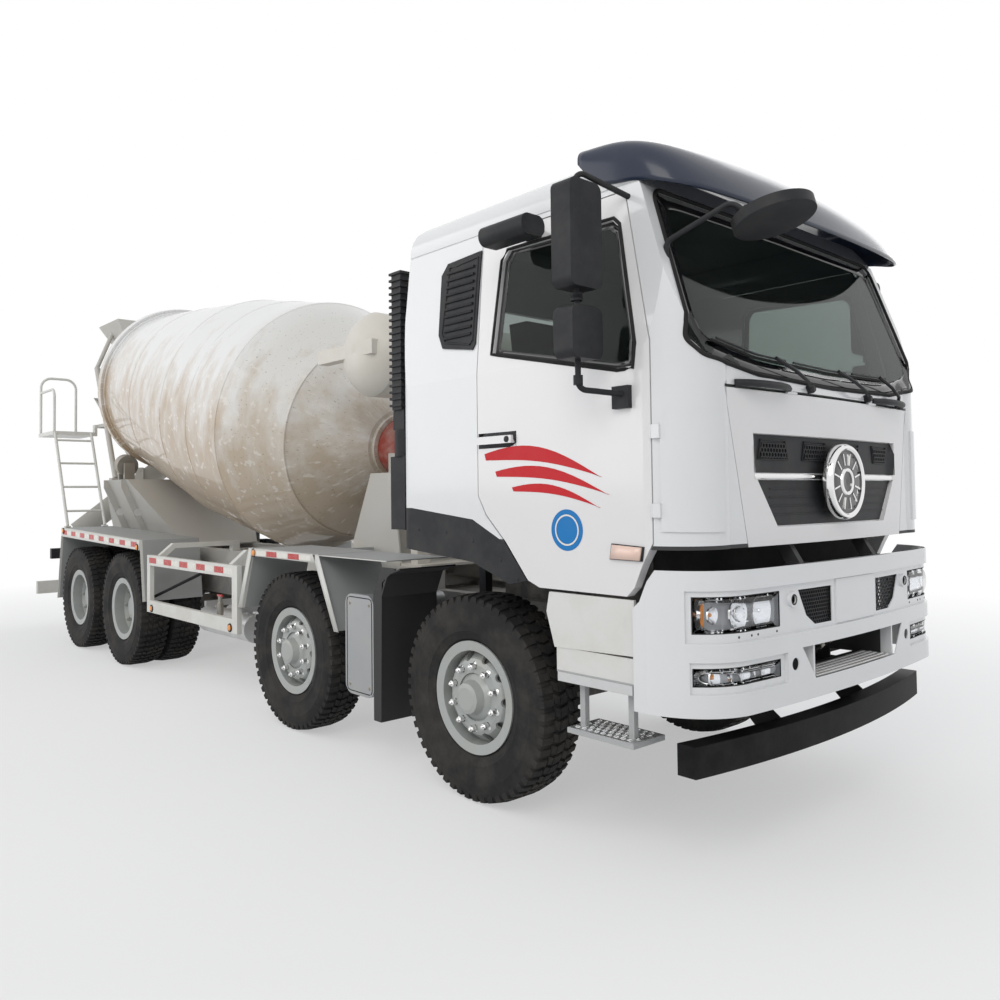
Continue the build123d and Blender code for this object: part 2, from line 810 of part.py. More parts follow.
def windscreen_outline(shrink):
    """Windscreen opening in front view."""
    s = shrink
    half = [(0, 2190 + s), (700, 2205 + s), (1080 - s, 2262 + s), (1150 - s, 2330 + s)]
    half += [(1095 - s, 2990 - s), (1050 - s, 3035 - s), (0, 3045 - s)]
    return half + [(-y, z) for y, z in reversed(half[1:-1])]


def flap_outline(grow):
    """Front flap in front view, wider at the top."""
    g = grow
    return [(-950 - g, flap_top + g), (-800 - g, cab_floor), (800 + g, cab_floor), (950 + g, flap_top + g)]


def grille_outline(grow):
    """The grille's opening in the front flap, in front view."""
    g = grow
    half = [(-567 - g, 1503 - g), (-737 - g, 1740), (-750 - g, 1930 + g)]
    return half + [(-y, z) for y, z in reversed(half)]


def arch_band():
    """Side outline of the black lip round the wheel arch, outer edge then inner edge."""
    upper = [(cab_rear, 1591), (-400, 1591), (120, 1533), (369, 1414), (516, 1237)]
    lower = [(393, 1211), (116, 1308), (cab_rear, 1360)]
    return upper + lower


def arch_cut():
    """Everything under the cab's side skirts, in side view."""
    edge = [(x, z + 1) for x, z in arch_band()[:5]]
    points = [(-700, 1000), (-700, 1592), *edge, (600, door_bottom), (600, 1000)]
    return both(prism_xz(points, -1400, -1100))


def flap_hinge_pin(y):
    """Short pin that the front flap swings on."""
    return cross_rod(hinge_x, hinge_z, y - 45, y + 45, hinge_radius)


def door_pins(radius, half):
    """Upright pins that the two doors swing on, hidden in the gap at their front edges."""
    x, y = door_pin_x, door_pin_y
    return [rod((x, side, z - half), (x, side, z + half), radius) for side in (-y, y) for z in door_pin_z]


def door_leaves():
    """Hinge leaves that hold the door pins on the cab's corners."""
    blocks = []
    for z in door_pin_z:
        y = door_pin_y
        blocks += both(block(door_pin_x + 3, door_pin_x + 45, -y - 2, -y + 12, z - 30, z + 30))
    return blocks


def cab_shell(outer, inner):
    """Painted shell: walls, roof and floor, with door, windscreen and flap openings."""
    below = block(-2000, 3000, -2000, 2000, 0, cab_floor)
    shell = outer - inner - below
    for side in both(prism_xz(door_outline(panel_gap), -1400, -1000)):
        shell = shell - side
    shell = shell - prism_yz(windscreen_outline(0), 1000, 2000)
    shell = shell - prism_yz(flap_outline(panel_gap), cab_front - 100, 2000)
    shell = shell - (prism_yz(flap_outline(flap_swing_gap), cab_front - 100, 2000) & cab_volume(6))
    shell = shell - block(cab_front - 60, 2000, -958, 958, flap_top, flap_top + 14)
    hinges = [flap_hinge_pin(y) for y in (-430, 430)]
    for y in (-430, 430):
        hinges.append(block(hinge_x - 6, hinge_x + 2, y - 5, y + 5, hinge_z - 3, flap_top + 30))
    for cut in arch_cut():
        shell = shell - cut
    sheet = block(cab_rear + 20, cab_front - 70, -cab_half, cab_half, cab_floor, cab_floor + floor_thick)
    floor = sheet & cab_volume(door_thick + panel_gap)
    sill = sheet & outer & block(cab_rear - 10, door_rear_x - 40, -cab_half + 36, cab_half - 36, 0, 2000)
    rear_window = block(cab_rear - 60, cab_rear + 100, -520, 520, 2450, 2850)
    shell = shell - rear_window
    lug_outline = [
        (tilt_x - 110, cab_floor + 4),
        (tilt_x - 40, tilt_z),
        (tilt_x - 20, tilt_z - 26),
        (tilt_x + 20, tilt_z - 26),
        (tilt_x + 28, tilt_z + 10),
        (tilt_x - 40, cab_floor + 4),
    ]
    lug = prism_xz(lug_outline, -rail_outer_y + 18, -rail_outer_y + 58)
    lug = lug - cross_rod(tilt_x, tilt_z, -rail_outer_y, -rail_outer_y + 80, tilt_pin_radius + fit)
    bulkhead = block(cab_front - 75 - 10, cab_front - 75, -1000, 1000, cab_floor, flap_top - 10)
    strip = block(cab_rear - 10, 1180, -cab_half, cab_half, gutter_z - 4, gutter_z + 4)
    groove = (outer - cab_volume(5)) & strip
    hinges += door_pins(door_pin_radius, 30) + door_leaves()
    return join(shell - groove, floor, sill, bulkhead, *both(lug), *hinges, *corner_pads())


def corner_pads():
    """Raised pads on the cab's round front corners, between the doors and the flap."""
    outline = [(1305, 1500), (1700, 1490), (1700, 2010), (1345, 2010), (1305, 1970)]
    return both((cab_volume(-8) - cab_volume(2)) & prism_xz(outline, -1400, -990))


def doors(outer):
    """Door slabs cut from the cab's form, with their windows open."""
    deep = cab_volume(door_thick)
    slab = (outer & prism_xz(door_outline(0), -1400, -1000)) - deep
    slab = slab - prism_xz(window_outline(0), -1400, -900)
    for pin in door_pins(door_pin_radius + fit, 36):
        slab = slab - pin
    handle = block(190, 440, -cab_half - 26, -cab_half + 4, 1925, 1965)
    return both(join(slab, handle))


def door_glass():
    """Window panes in the door slabs."""
    pane = (cab_volume(20) - cab_volume(20 + glass_thick)) & prism_xz(window_outline(fit), -1400, -900)
    return both(pane)


def windscreen():
    """Curved pane in the windscreen opening."""
    return (cab_volume(8) - cab_volume(8 + glass_thick)) & prism_yz(windscreen_outline(fit), 1000, 2000)


def front_flap(outer):
    """Hinged front panel with the grille opening and its backing."""
    deep = cab_volume(34)
    slab = (outer & prism_yz(flap_outline(0), cab_front - 150, 2000)) - deep
    slab = slab - block(0, 3000, -2000, 2000, 0, cab_floor)
    slab = slab - (cab_volume(8) - prism_yz(flap_outline(-8), cab_front - 200, 2000))
    grille = prism_yz(grille_outline(0), 1000, 2000)
    behind = prism_yz(grille_outline(10), cab_front - 150, 2000)
    backing = (cab_volume(22) - cab_volume(32)) & behind
    bar = (cab_volume(4) - cab_volume(24)) & block(0, 3000, -745, 745, 1722, 1750)
    panel = join(slab - grille, backing, bar)
    for y in (-430, 430):
        panel = panel - cross_rod(hinge_x, hinge_z, y - 50, y + 50, hinge_radius + fit)
    return panel


def cab_trim(outer):
    """Black arch trims on both sides and the louvred quarter panels."""
    skin = (outer & prism_xz(arch_band(), -1400, -1200)) - cab_volume(30)
    return both(skin)


def quarter_panels():
    """Louvred black panels let into the cab's rear quarters."""
    outline = [(-160, 2560), (-120, 2480), (130, 2440), (150, 2470), (165, 2975), (-110, 2960), (-160, 2900)]
    plate = (cab_volume(-9) - cab_volume(-fit)) & prism_xz(outline, -1400, -1000)
    return both(plate)


def visor_form(inset):
    """The visor's outer form, offset inwards: side profile, plan and front section together."""
    profile = [(700, 2700), (1600, 2700), (1600, 2880), (1420, 3140)]
    profile += [(1270, 3288), (1090, 3355), (700, 3355)]
    side = offset(Face(Wire.make_polygon([(x, 0, z) for x, z in profile], close=True)), -inset).faces()[0]
    side = Pos(0, -1300, 0) * extrude(side, amount=2600, dir=(0, 1, 0))
    w, f, c = visor_half - inset, 1560 - inset, 1405 - inset
    plan = Wire([
        Line((700, -w, 0), (1240, -w, 0)),
        ThreePointArc((1240, -w, 0), (c - 48, -w + 78, 0), (c, -w + 230, 0)),
        ThreePointArc((c, -w + 230, 0), (f, 0, 0), (c, w - 230, 0)),
        ThreePointArc((c, w - 230, 0), (c - 48, w - 78, 0), (1240, w, 0)),
        Line((1240, w, 0), (700, w, 0)),
        Line((700, w, 0), (700, -w, 0)),
    ])
    top = roof_z + 52 - inset
    section = Wire([
        Line((0, -w, 2700), (0, -w, 3150)),
        ThreePointArc((0, -w, 3150), (0, -w + 40, top - 82), (0, -w + 170, top - 34)),
        ThreePointArc((0, -w + 170, top - 34), (0, 0, top), (0, w - 170, top - 34)),
        ThreePointArc((0, w - 170, top - 34), (0, w - 40, top - 82), (0, w, 3150)),
        Line((0, w, 3150), (0, w, 2700)),
        Line((0, w, 2700), (0, -w, 2700)),
    ])
    tall = Pos(0, 0, 2600) * extrude(Face(plan), amount=900, dir=(0, 0, 1))
    return (side & tall) & (Pos(650, 0, 0) * extrude(Face(section), amount=1100, dir=(1, 0, 0)))


def visor():
    """Moulded sun visor wrapped round the roof's front edge, standing on the roof on four feet."""
    edge = [(840, 3400), (840, 3230), (945, 3106), (1010, 3083), (1150, 3078), (1330, 3045), (1620, 2885)]
    below = prism_xz(edge + [(1620, 2600), (600, 2600), (600, 3400)], -1300, 1300)
    shell = (visor_form(0) - visor_form(visor_wall)) - below
    half_way = visor_form(visor_wall / 2)
    feet = [half_way & block(880, 960, y - 20, y + 20, 3150, 3400) for y in (-900, -300, 300, 900)]
    return join(shell, *feet) - cab_volume(-fit)


def interior():
    """Dash, seats, steering column and wheel, as they show through the glass."""
    floor_z = cab_floor + floor_thick
    outline = [(1180, floor_z), (1180, 1900), (1080, 2120), (1300, 2160), (1400, 1900), (1400, floor_z)]
    dash = prism_xz(outline, -1120, 1120)
    seats = []
    for y in (-560, 560):
        base = block(150, 650, y - 250, y + 250, floor_z, 1900)
        back = prism_xz([(80, 1880), (250, 1880), (120, 2650), (-20, 2650)], y - 240, y + 240)
        seats.append(join(base, back))
    bunk = block(cab_rear + 45, -100, -1120, 1120, floor_z, 1800)
    column = rod((1120, 560, 2020), (884, 560, 2181), 30)
    ring = Plane(origin=(880, 560, 2184), z_dir=(-0.82, 0, 0.57)) * Torus(225, 15)
    spoke = Plane(origin=(880, 560, 2184), z_dir=(-0.82, 0, 0.57)) * Box(20, 440, 16)
    room = cab_volume(door_thick + 6) - block(-2000, 3000, -2000, 2000, 0, floor_z + fit)
    return [piece & room for piece in (join(dash, column, ring, spoke), *seats, bunk)]


def mirrors():
    """Arm with a tall and a wide-angle mirror on each door; the right door has a kerb mirror too."""
    arm = pipe([(1130, -1165, 3000), (1040, -1440, 3090), (1040, -1440, 2120), (1150, -1225, 2100)], 13, 40)
    tall = block(985, 1095, -1540, -1330, 2560, 3030)
    tall = fillet(tall.edges().filter_by(Axis.X), 40)
    wide = block(985, 1095, -1535, -1335, 2250, 2480)
    wide = fillet(wide.edges().filter_by(Axis.X), 40)
    foot = block(1080, 1170, -1262, -1232, 2040, 2140)
    right, left = both(join(arm, tall, wide, foot) - cab_volume(-fit))
    kerb = fillet(block(400, 700, -1430, -1270, 2900, 3000).edges().filter_by(Axis.X), 45)
    kerb = join(kerb, block(500, 600, -1300, -1100, 2945, 2985)) - cab_volume(-fit)
    return [right, kerb], [left]


def front_mirror():
    """Round close-view mirror on a bent arm ahead of the right corner."""
    arm = pipe([(1290, -1120, 2560), (1300, -1150, 2760), (1560, -1050, 2890), (1660, -1010, 2795)], 12, 50)
    lean = radians(mirror_tilt)
    head = Plane(origin=(mirror_x, -1000, mirror_z), z_dir=(sin(lean), 0, -cos(lean))) * Cylinder(
        mirror_radius, mirror_thick
    )
    mount = block(mirror_x - 115, mirror_x - 15, -1045, -955, mirror_z, mirror_z + 62)
    return join(arm, head, fillet(mount.edges().filter_by(Axis.Z), 18)) - cab_volume(-fit)


# ================================================================ mixer
def on_drum(shape):
    """Moves a shape drawn about +X on the drum's own axis to its place; +X runs to the rear."""
    return Pos(drum_x, 0, drum_z) * Rot(0, 180 + drum_angle, 0) * shape


def drum_point(station, radius, angle):
    """A point at a station along the drum's axis, at an angle from straight down, + to the left."""
    a, t = radians(drum_angle), radians(angle)
    along = Vector(-cos(a), 0, sin(a))
    down = Vector(-sin(a), 0, -cos(a))
    out = down * (radius * cos(t)) + Vector(0, 1, 0) * (radius * sin(t))
    return Vector(drum_x, 0, drum_z) + along * station + out


def drum():
    """Hollow drum: head, front cone, belt, rear cone, roller ring and open mouth."""
    w = drum_wall
    line = [(head_station, head_radius), (belt_start, drum_radius), (belt_end, drum_radius)]
    line += [(ring_station, ring_seat_radius), (mouth_station, mouth_radius)]
    inner = [(s, r - w) for s, r in reversed(line)] + [(head_thick, nose_radius), (head_thick, 0), (0, 0)]
    outline = [(0, nose_radius)] + line + inner
    shell = revolve(Face(Wire.make_polygon([(s, r, 0) for s, r in outline], close=True)), Axis.X, 360)
    s0, s1 = ring_station - ring_width / 2, ring_station + ring_width / 2
    hoop = [(s0, ring_seat_radius - 5), (s0, ring_radius), (s1, ring_radius), (s1, ring_seat_radius - 35)]
    ring = revolve(Face(Wire.make_polygon([(s, r, 0) for s, r in hoop], close=True)), Axis.X, 360)
    flange = Rot(0, 90, 0) * Pos(0, 0, -20) * Cylinder(270, 40)
    return on_drum(join(shell, ring, flange))


def drum_drive():
    """Planetary reducer on the front pedestal."""
    body = Rot(0, 90, 0) * Pos(0, 0, -250) * Cylinder(reducer_radius, 410)
    motor = Rot(0, 90, 0) * Pos(0, 0, -560) * Cylinder(110, 220)
    return on_drum(join(body, motor))


def front_pedestal():
    """A-shaped plates that carry the reducer over the subframe."""
    base_z = rail_top + subframe_depth
    outline = [(-2300, base_z), (-1600, base_z), (-1700, 1840), (-1980, 1840)]
    plates = [prism_xz(outline, y, y + 14) for y in (-400, 386)]
    saddle = block(-1980, -1700, -400, 400, 1800, 1828)
    sole = block(-2380, -1585, -420, 420, base_z + fit, base_z + 20)
    rib = prism_yz([(-400, base_z + 10), (400, base_z + 10), (230, 1810), (-230, 1810)], -1850, -1836)
    cradle = block(-1960, -1720, -240, 240, 1820, 2000)
    drive = on_drum(Rot(0, 90, 0) * Pos(0, 0, -250) * Cylinder(reducer_radius + fit, 1000))
    return join(*plates, saddle, sole, rib, cradle) - drive


def water_tank():
    """Pressurised water tank across the truck behind the cab, on two posts, with a beam past each end."""
    x, z, base_z = tank_x, tank_z, rail_top + subframe_depth
    shell = cross_rod(x, z, -tank_half, tank_half, tank_radius)
    ends = []
    for side in (-1, 1):
        arc = Face(Wire([
            ThreePointArc((0, 0, tank_dome), (tank_radius * 0.72, 0, tank_dome * 0.68), (tank_radius, 0, 0)),
            Line((tank_radius, 0, 0), (0, 0, 0)),
            Line((0, 0, 0), (0, 0, tank_dome)),
        ]))
        ends.append(Pos(x, side * tank_half, z) * Rot(-side * 90, 0, 0) * revolve(arc, Axis.Z, 360))
    parts = [shell, *ends]
    for y in (-330, 330):
        post = [(y - 60, 1450), (y + 60, 1450), (y + 90, z - 200), (y - 90, z - 200)]
        parts.append(prism_yz(post, x - 40, x + 40))
        parts.append(block(x - 40, x + 40, y - 60, y + 60, base_z + 10, 1460))
    parts.append(block(x - 120, x + 120, -420, 420, base_z + fit, base_z + 20))
    beam_y = tank_half + tank_dome
    parts += both(block(x - 480, x + 210, -beam_y, -beam_y + 90, z - 30, z + 70))
    return join(*parts)


def mixer_subframe():
    """Long members on top of the rails that carry the mixer."""
    top = rail_top + subframe_depth
    y = -rail_outer_y
    member = block(rail_rear + 100, subframe_front, y, y + subframe_width, rail_top + fit, top)
    cross = []
    for x in (-1900, -4700, -6200, -7600):
        cross.append(block(x - 40, x + 40, y + 5, -y - 5, rail_top + 20, top - 10))
    return join(*both(member), *cross)


def tapered(base, top, z0, z1):
    """A solid between two level rectangles, each given as (x0, x1, half width)."""
    faces = []
    for (x0, x1, y), z in ((base, z0), (top, z1)):
        faces.append(plate_ring([(x0, -y, z), (x1, -y, z), (x1, y, z), (x0, y, z)]))
    return loft(faces, ruled=True)


def rear_pedestal():
    """Hollow tapered stand under the drum's ring, with gussets, and the chute's bearing behind it."""
    base_z = rail_top + subframe_depth
    w = stand_wall
    x0, x1, x2, x3 = stand_x
    stand = tapered((x0, x3, 430), (x1, x2, 760), base_z + 10, saddle_z)
    room = tapered((x0 + w, x3 - w, 430 - w), (x1 + w, x2 - w, 760 - w), base_z - 2, saddle_z - w)
    gussets = []
    for x in (x1 + 100, x2 - 80):
        plate = [(-428, base_z + 12), (-540, base_z + 12), (-590, 1330)]
        plate += [(-800, saddle_z - 90), (-800, saddle_z), (-755, saddle_z)]
        gusset = prism_yz(plate, x, x + w)
        gussets += both(gusset - rod((x - 5, -610, 1500), (x + w + 5, -610, 1500), 45))
    notch = on_drum(Rot(0, 90, 0) * Pos(0, 0, ring_station) * Cylinder(ring_radius + 40, 2400))
    sole = block(swing_x - 140, -5350, -430, 430, base_z + fit, bearing_foot)
    housing = rod((swing_x, 0, bearing_foot - 6), (swing_x, 0, bearing_top), post_radius + 26)
    bore = rod((swing_x, 0, bearing_foot), (swing_x, 0, bearing_top + 10), post_radius + fit)
    rib = block(swing_x, -7250, -8, 8, bearing_foot - 6, bearing_top - 60)
    return join(stand - room, sole, housing, *gussets, rib) - notch - bore


def drum_rollers():
    """Two support rollers under the ring with their pillow blocks."""
    made = []
    for angle in (-roller_angle, roller_angle):
        reach = ring_radius + fit + roller_radius
        start = drum_point(ring_station - 55, reach, angle)
        end = drum_point(ring_station + 55, reach, angle)
        shaft0 = drum_point(ring_station - 110, reach, angle)
        shaft1 = drum_point(ring_station + 110, reach, angle)
        roller = join(rod(start, end, roller_radius), rod(shaft0, shaft1, 40))
        for s in (-95, 95):
            centre = drum_point(ring_station + s, reach, angle)
            x, y = centre.X, centre.Y
            roller = roller + block(x - 22, x + 22, y - 60, y + 60, saddle_z + fit, centre.Z + 45)
        made.append(roller)
    return made


def plate_ring(points):
    """A flat face through four or more corners in space."""
    return Face(Wire.make_polygon([Vector(*point) for point in points], close=True))


def shrunk(points, wall):
    """The corners of a hopper's opening moved in by its wall."""
    cx = sum(x for x, _, _ in points) / len(points)
    return [(x + (wall if x < cx else -wall), y + (wall if y < 0 else -wall), z) for x, y, z in points]


def open_hopper(low, top, wall=6.0):
    """A tapered hopper between two four-cornered openings, open at both."""
    outer = loft([plate_ring(low), plate_ring(top)], ruled=True)
    slope = [(t[0] - l[0], t[1] - l[1], t[2] - l[2]) for l, t in zip(low, top)]
    below = [(l[0] - 0.02 * d[0], l[1] - 0.02 * d[1], l[2] - 0.02 * d[2]) for l, d in zip(low, slope)]
    above = [(t[0] + 0.02 * d[0], t[1] + 0.02 * d[1], t[2] + 0.02 * d[2]) for t, d in zip(top, slope)]
    inner = loft([plate_ring(shrunk(below, wall)), plate_ring(shrunk(above, wall))], ruled=True)
    return outer - inner


def corners(x0, z0, x1, z1, y):
    """Four corners of an opening: rear edge, then front edge."""
    return [(x0, -y, z0), (x0, y, z0), (x1, y, z1), (x1, -y, z1)]


def hoppers():
    """Charging hopper into the mouth, the collecting funnel under it and their struts."""
    charge = open_hopper(corners(-7344, 3160, -7300, 3160, 210), corners(-8060, 3940, -7345, 3940, 480))
    charge = charge - prism_xz([(-7600, 3415), (-7270, 3134), (-7270, 3000), (-7600, 3000)], -600, 600)
    collect = open_hopper(corners(-7850, 2220, -7600, 2220, 170), corners(-8020, 2990, -7169, 2990, 560))
    collect = collect - prism_xz([(-8060, 3027), (-7400, 2414), (-7000, 2414), (-7000, 3100)], -700, 700)
    struts = both(
        join(
            rod((-6960, -640, saddle_z + 28), (-7640, -640, 3330), 32),
            rod((-7640, -640, 3330), (-7700, -430, 3800), 26),
            block(-7010, -6900, -700, -580, saddle_z + fit, saddle_z + 30),
        )
    )
    rails = both(rod((-7640, -640, 3300), (-7640, -240, 3400), 20))
    bar = join(
        block(-7640, -7280, -655, -625, 2560, 2600),
        block(-7640, -7600, -655, -358, 2560, 2600),
    )
    hangers = both(bar - rod((-6960, -640, saddle_z + 28), (-7640, -640, 3330), 32 + fit))
    return join(charge, *struts, *rails), join(collect, *hangers)


def chute_bracket():
    """Swivel post that turns in the rear pedestal, with the yoke that carries the chute's pins."""
    post = rod((swing_x, 0, bearing_foot + 4), (swing_x, 0, yoke_z), post_radius)
    collar = rod((swing_x, 0, bearing_top + fit), (swing_x, 0, bearing_top + 40), post_radius + 30)
    arm_y = chute_radius + lug_out + 6
    base = block(-60, 60, -arm_y - 20, arm_y + 20, yoke_z - 20, yoke_z)
    arms = both(block(-50, 50, -arm_y - 20, -arm_y, yoke_z - 20, pin_z + 50))
    pins = both(rod((0, -arm_y - 24, pin_z), (0, -chute_radius + 8, pin_z), pin_radius))
    yoke = Pos(swing_x, 0, 0) * Rot(0, 0, chute_rest) * join(base, *arms, *pins)
    return join(post, collar, yoke)


def chute():
    """Half-round trough under the funnel, sloping down to the rear right, with its pivot lugs."""
    r, wall = chute_radius, 5.0
    section = Face(
        Wire(
            [
                ThreePointArc((0, -r, 0), (0, 0, -r), (0, r, 0)),
                Line((0, r, 0), (0, r - wall, 0)),
                ThreePointArc((0, r - wall, 0), (0, 0, -r + wall), (0, -r + wall, 0)),
                Line((0, -r + wall, 0), (0, -r, 0)),
            ]
        )
    )
    trough = Pos(240, 0, 0) * extrude(section, amount=chute_length + 240, dir=(-1, 0, 0))
    trough = Rot(0, -chute_slope, 0) * trough
    lugs = both(block(-50, 50, -r - lug_out, -r + wall, -60, 45))
    bores = both(cross_rod(0, 0, -r - 40, -r + 20, pin_radius + fit))
    body = join(trough, *lugs)
    for bore in bores:
        body = body - bore
    return Pos(swing_x, 0, pin_z) * Rot(0, 0, chute_rest) * body


def ladder():
    """Ladder from the rear deck to the railed platform at the right rear."""
    outer, inner, rear, front = -1170.0, -740.0, -8180.0, -7560.0
    foot_x, foot_z = -7030.0, 1345.0
    deck = block(rear, front, outer - 20, inner + 60, deck_z - 45, deck_z)
    rails = [rod((foot_x, y, foot_z), (front + 14, y, deck_z - 20), 17) for y in (outer, inner)]
    rungs = []
    for k in range(4):
        share = (k + 0.6) / 4
        x, z = foot_x + (front - foot_x) * share, foot_z + (deck_z - foot_z) * share
        rungs.append(cross_rod(x, z, outer, inner, 13))
    hoop_z = deck_z + 720
    post_x, foot = rear + 20, deck_z - 20
    across = [(post_x, outer, foot), (post_x, outer, hoop_z), (post_x, inner, hoop_z), (post_x, inner, foot)]
    along = [(post_x, outer, hoop_z - 200), (front - 20, outer, hoop_z - 200), (front - 20, outer, foot)]
    hoops = [pipe(across, 16, 130), pipe(along, 16, 100)]
    bracket = block(-7640, -7570, inner + 50, -655 - fit, deck_z - 45, deck_z + 95)
    feet = [block(foot_x - 40, foot_x + 30, y - 30, y + 30, foot_z - 18, foot_z) for y in (outer, inner)]
    return join(deck, *rails, *rungs, *hoops, bracket, *feet)


def fenders():
    """Plate fenders over the second axle and the bogie."""
    t = fender_wall
    inner = [(-1250, 780), (-1480, 1265), (-2375, 1272), (-2540, 815)]
    outer = [(-2540 - t, 815), (-2378, 1278), (-1476, 1271), (-1250 + t, 782)]
    arch = prism_xz(inner + outer, -1220, -700)
    deck = block(-1480, -700, -1200, -700, 1262, 1268)
    stay = block(-1960, -1900, -705, -rail_outer_y - fit, 1060, 1268)
    middle = join(arch, deck, stay)
    inner = [(-4560, 680), (-4640, 1255), (-7080, 1320), (-7240, 490)]
    outer = [(-7240 - t, 490), (-7084, 1320 + t), (-4636, 1255 + t), (-4560 + t, 680)]
    arch = prism_xz(inner + outer, -1220, -620)
    band = prism_xz([(-4640, 1165), (-4640, 1255), (-7080, 1320), (-7080, 1225)], -1225, -1218)
    arm = block(-5900, -5840, -700, -rail_outer_y - fit, 1060, 1130)
    post = block(-5900, -5840, -700, -640, 1060, 1290)
    return both(middle) + both(join(arch, band, post, arm))


def side_guards():
    """Welded frames between the second and third axles, hung from bent arms on the subframe."""
    x0, x1, z0, z1 = -4450, -2620, 600, 1130
    bars = [
        block(x0, x1, -1220, -1180, z1 - 95, z1),
        block(x0, x1, -1220, -1180, z0, z0 + 110),
        block(x0, x0 + 70, -1220, -1180, z0, z1),
        block(x1 - 90, x1, -1220, -1180, z0, z1),
    ]
    seat_z = rail_top + subframe_depth + fit
    arm = [(-1220, 1050), (-1180, 1050), (-1010, 1190), (-rail_outer_y, 1190), (-rail_outer_y, seat_z)]
    arm += [(-rail_outer_y + subframe_width, seat_z), (-rail_outer_y + subframe_width, 1235)]
    arm += [(-1030, 1235), (-1220, 1080)]
    arms = [prism_yz(arm, x, x + 60) for x in (x0 + 100, x1 - 260)]
    return both(join(*bars, *arms))


def rear_guard():
    """Rear guard bar on two drop arms."""
    bar = block(rear_end, rear_end + 60, -1150, 1150, 440, 600)
    arms = both(block(rear_end + 55, rail_rear - fit, -rail_outer_y, -rail_outer_y + 12, 470, 900))
    return join(bar, *arms)


def build():
    """Writes every node."""
    place_wheels()
    outer, inner = cab_volume(0), cab_volume(cab_wall)
    right, left = doors(outer)
    glass_right, glass_left = door_glass()
    mirror_right, mirror_left = mirrors()
    charge, collect = hoppers()
    nodes = {
        "frame": [join(frame(), *tilt_brackets())],
        "front_axles": front_axles(),
        "drive_axles": drive_axles(),
        "leaf_springs": springs(),
        "engine": [engine()],
        "tanks": [tanks(), air_tanks()],
        "silencer_box": [silencer_box()],
        "intake_stack": [intake()],
        "bumper": [bumper()],
        "lamps": lamps(),
        "underrun_bar": [underrun_bar()],
        "cab_steps": cab_steps(),
        "cab_shell": [cab_shell(outer, inner)],
        "door_right": [right],
        "door_left": [left],
        "door_glass_right": [glass_right],
        "door_glass_left": [glass_left],
        "windscreen": [windscreen()],
        "front_flap": [front_flap(outer)],
        "cab_trim": [*cab_trim(outer), *quarter_panels()],
        "sun_visor": [visor()],
        "cab_interior": interior(),
        "mirrors_right": mirror_right,
        "mirrors_left": mirror_left,
        "front_mirror": [front_mirror()],
        "drum": [drum()],
        "drum_drive": [drum_drive()],
        "front_pedestal": [front_pedestal()],
        "water_tank": [water_tank()],
        "mixer_subframe": [mixer_subframe()],
        "rear_pedestal": [rear_pedestal()],
        "drum_rollers": drum_rollers(),
        "charging_hopper": [charge],
        "collecting_funnel": [collect],
        "chute_bracket": [chute_bracket()],
        "chute": [chute()],
        "ladder": [ladder()],
        "fenders": [*fenders(), *mudguards()],
        "side_guards": side_guards(),
        "rear_guard": [rear_guard()],
    }
    for name, shapes in nodes.items():
        save(name, *shapes)


build()
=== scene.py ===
# %% [markdown]
# # A four-axle concrete mixer truck
# The truck's rigid parts come from a imported model, which the script does not move or resize. Blender's
# share is the finish of every surface and the parts too fine for that model: tread, nuts, mesh, lenses,
# wipers, tape.
# A place is always worked out from the imported model's own boxes, so that nothing has to be fitted by eye.

import json
from math import copysign, cos, pi, radians, sin, sqrt, tau

import bmesh
import bpy
from mathutils import Matrix, Vector
from mathutils.bvhtree import BVHTree


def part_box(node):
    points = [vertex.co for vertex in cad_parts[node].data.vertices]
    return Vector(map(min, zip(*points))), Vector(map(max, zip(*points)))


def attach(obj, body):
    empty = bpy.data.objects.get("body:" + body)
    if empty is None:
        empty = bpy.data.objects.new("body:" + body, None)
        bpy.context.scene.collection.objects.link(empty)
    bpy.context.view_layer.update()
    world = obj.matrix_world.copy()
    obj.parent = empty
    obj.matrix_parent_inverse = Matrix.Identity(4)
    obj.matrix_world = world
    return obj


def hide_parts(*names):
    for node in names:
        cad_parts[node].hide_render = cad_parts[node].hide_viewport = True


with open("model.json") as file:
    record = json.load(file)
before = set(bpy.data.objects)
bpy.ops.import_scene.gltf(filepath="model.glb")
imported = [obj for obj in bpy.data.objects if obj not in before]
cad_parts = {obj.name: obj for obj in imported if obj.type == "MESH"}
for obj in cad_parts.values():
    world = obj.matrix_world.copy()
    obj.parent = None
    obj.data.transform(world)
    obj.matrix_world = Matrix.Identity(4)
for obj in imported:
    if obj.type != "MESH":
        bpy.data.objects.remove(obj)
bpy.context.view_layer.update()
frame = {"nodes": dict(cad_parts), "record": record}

# %% [markdown]
# A truck is drawn from its first axle, because wheels, arches and cab all hang on that line. The middle of
# the first tyre's box gives it, and `at()` turns stations measured from it into places in the model.

# %% Stations from the first axle
low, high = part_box("tyre_1_right")
axle_1 = (low[0] + high[0]) / 2
tyre_radius = (high[2] - low[2]) / 2
tyre_width = high[1] - low[1]
steer_y = -(low[1] + high[1]) / 2


def at(x, y, z):
    """A place measured from the first axle's middle on the ground."""
    return Vector((x + axle_1, y, z))


def middle(node):
    """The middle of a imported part's box."""
    a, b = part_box(node)
    return Vector([(p + q) / 2 for p, q in zip(a, b)])


axle_x = [middle(f"wheel_{n}_right").x for n in (1, 2, 3, 4)]
print("axles:", [round(x - axle_1, 3) for x in axle_x])
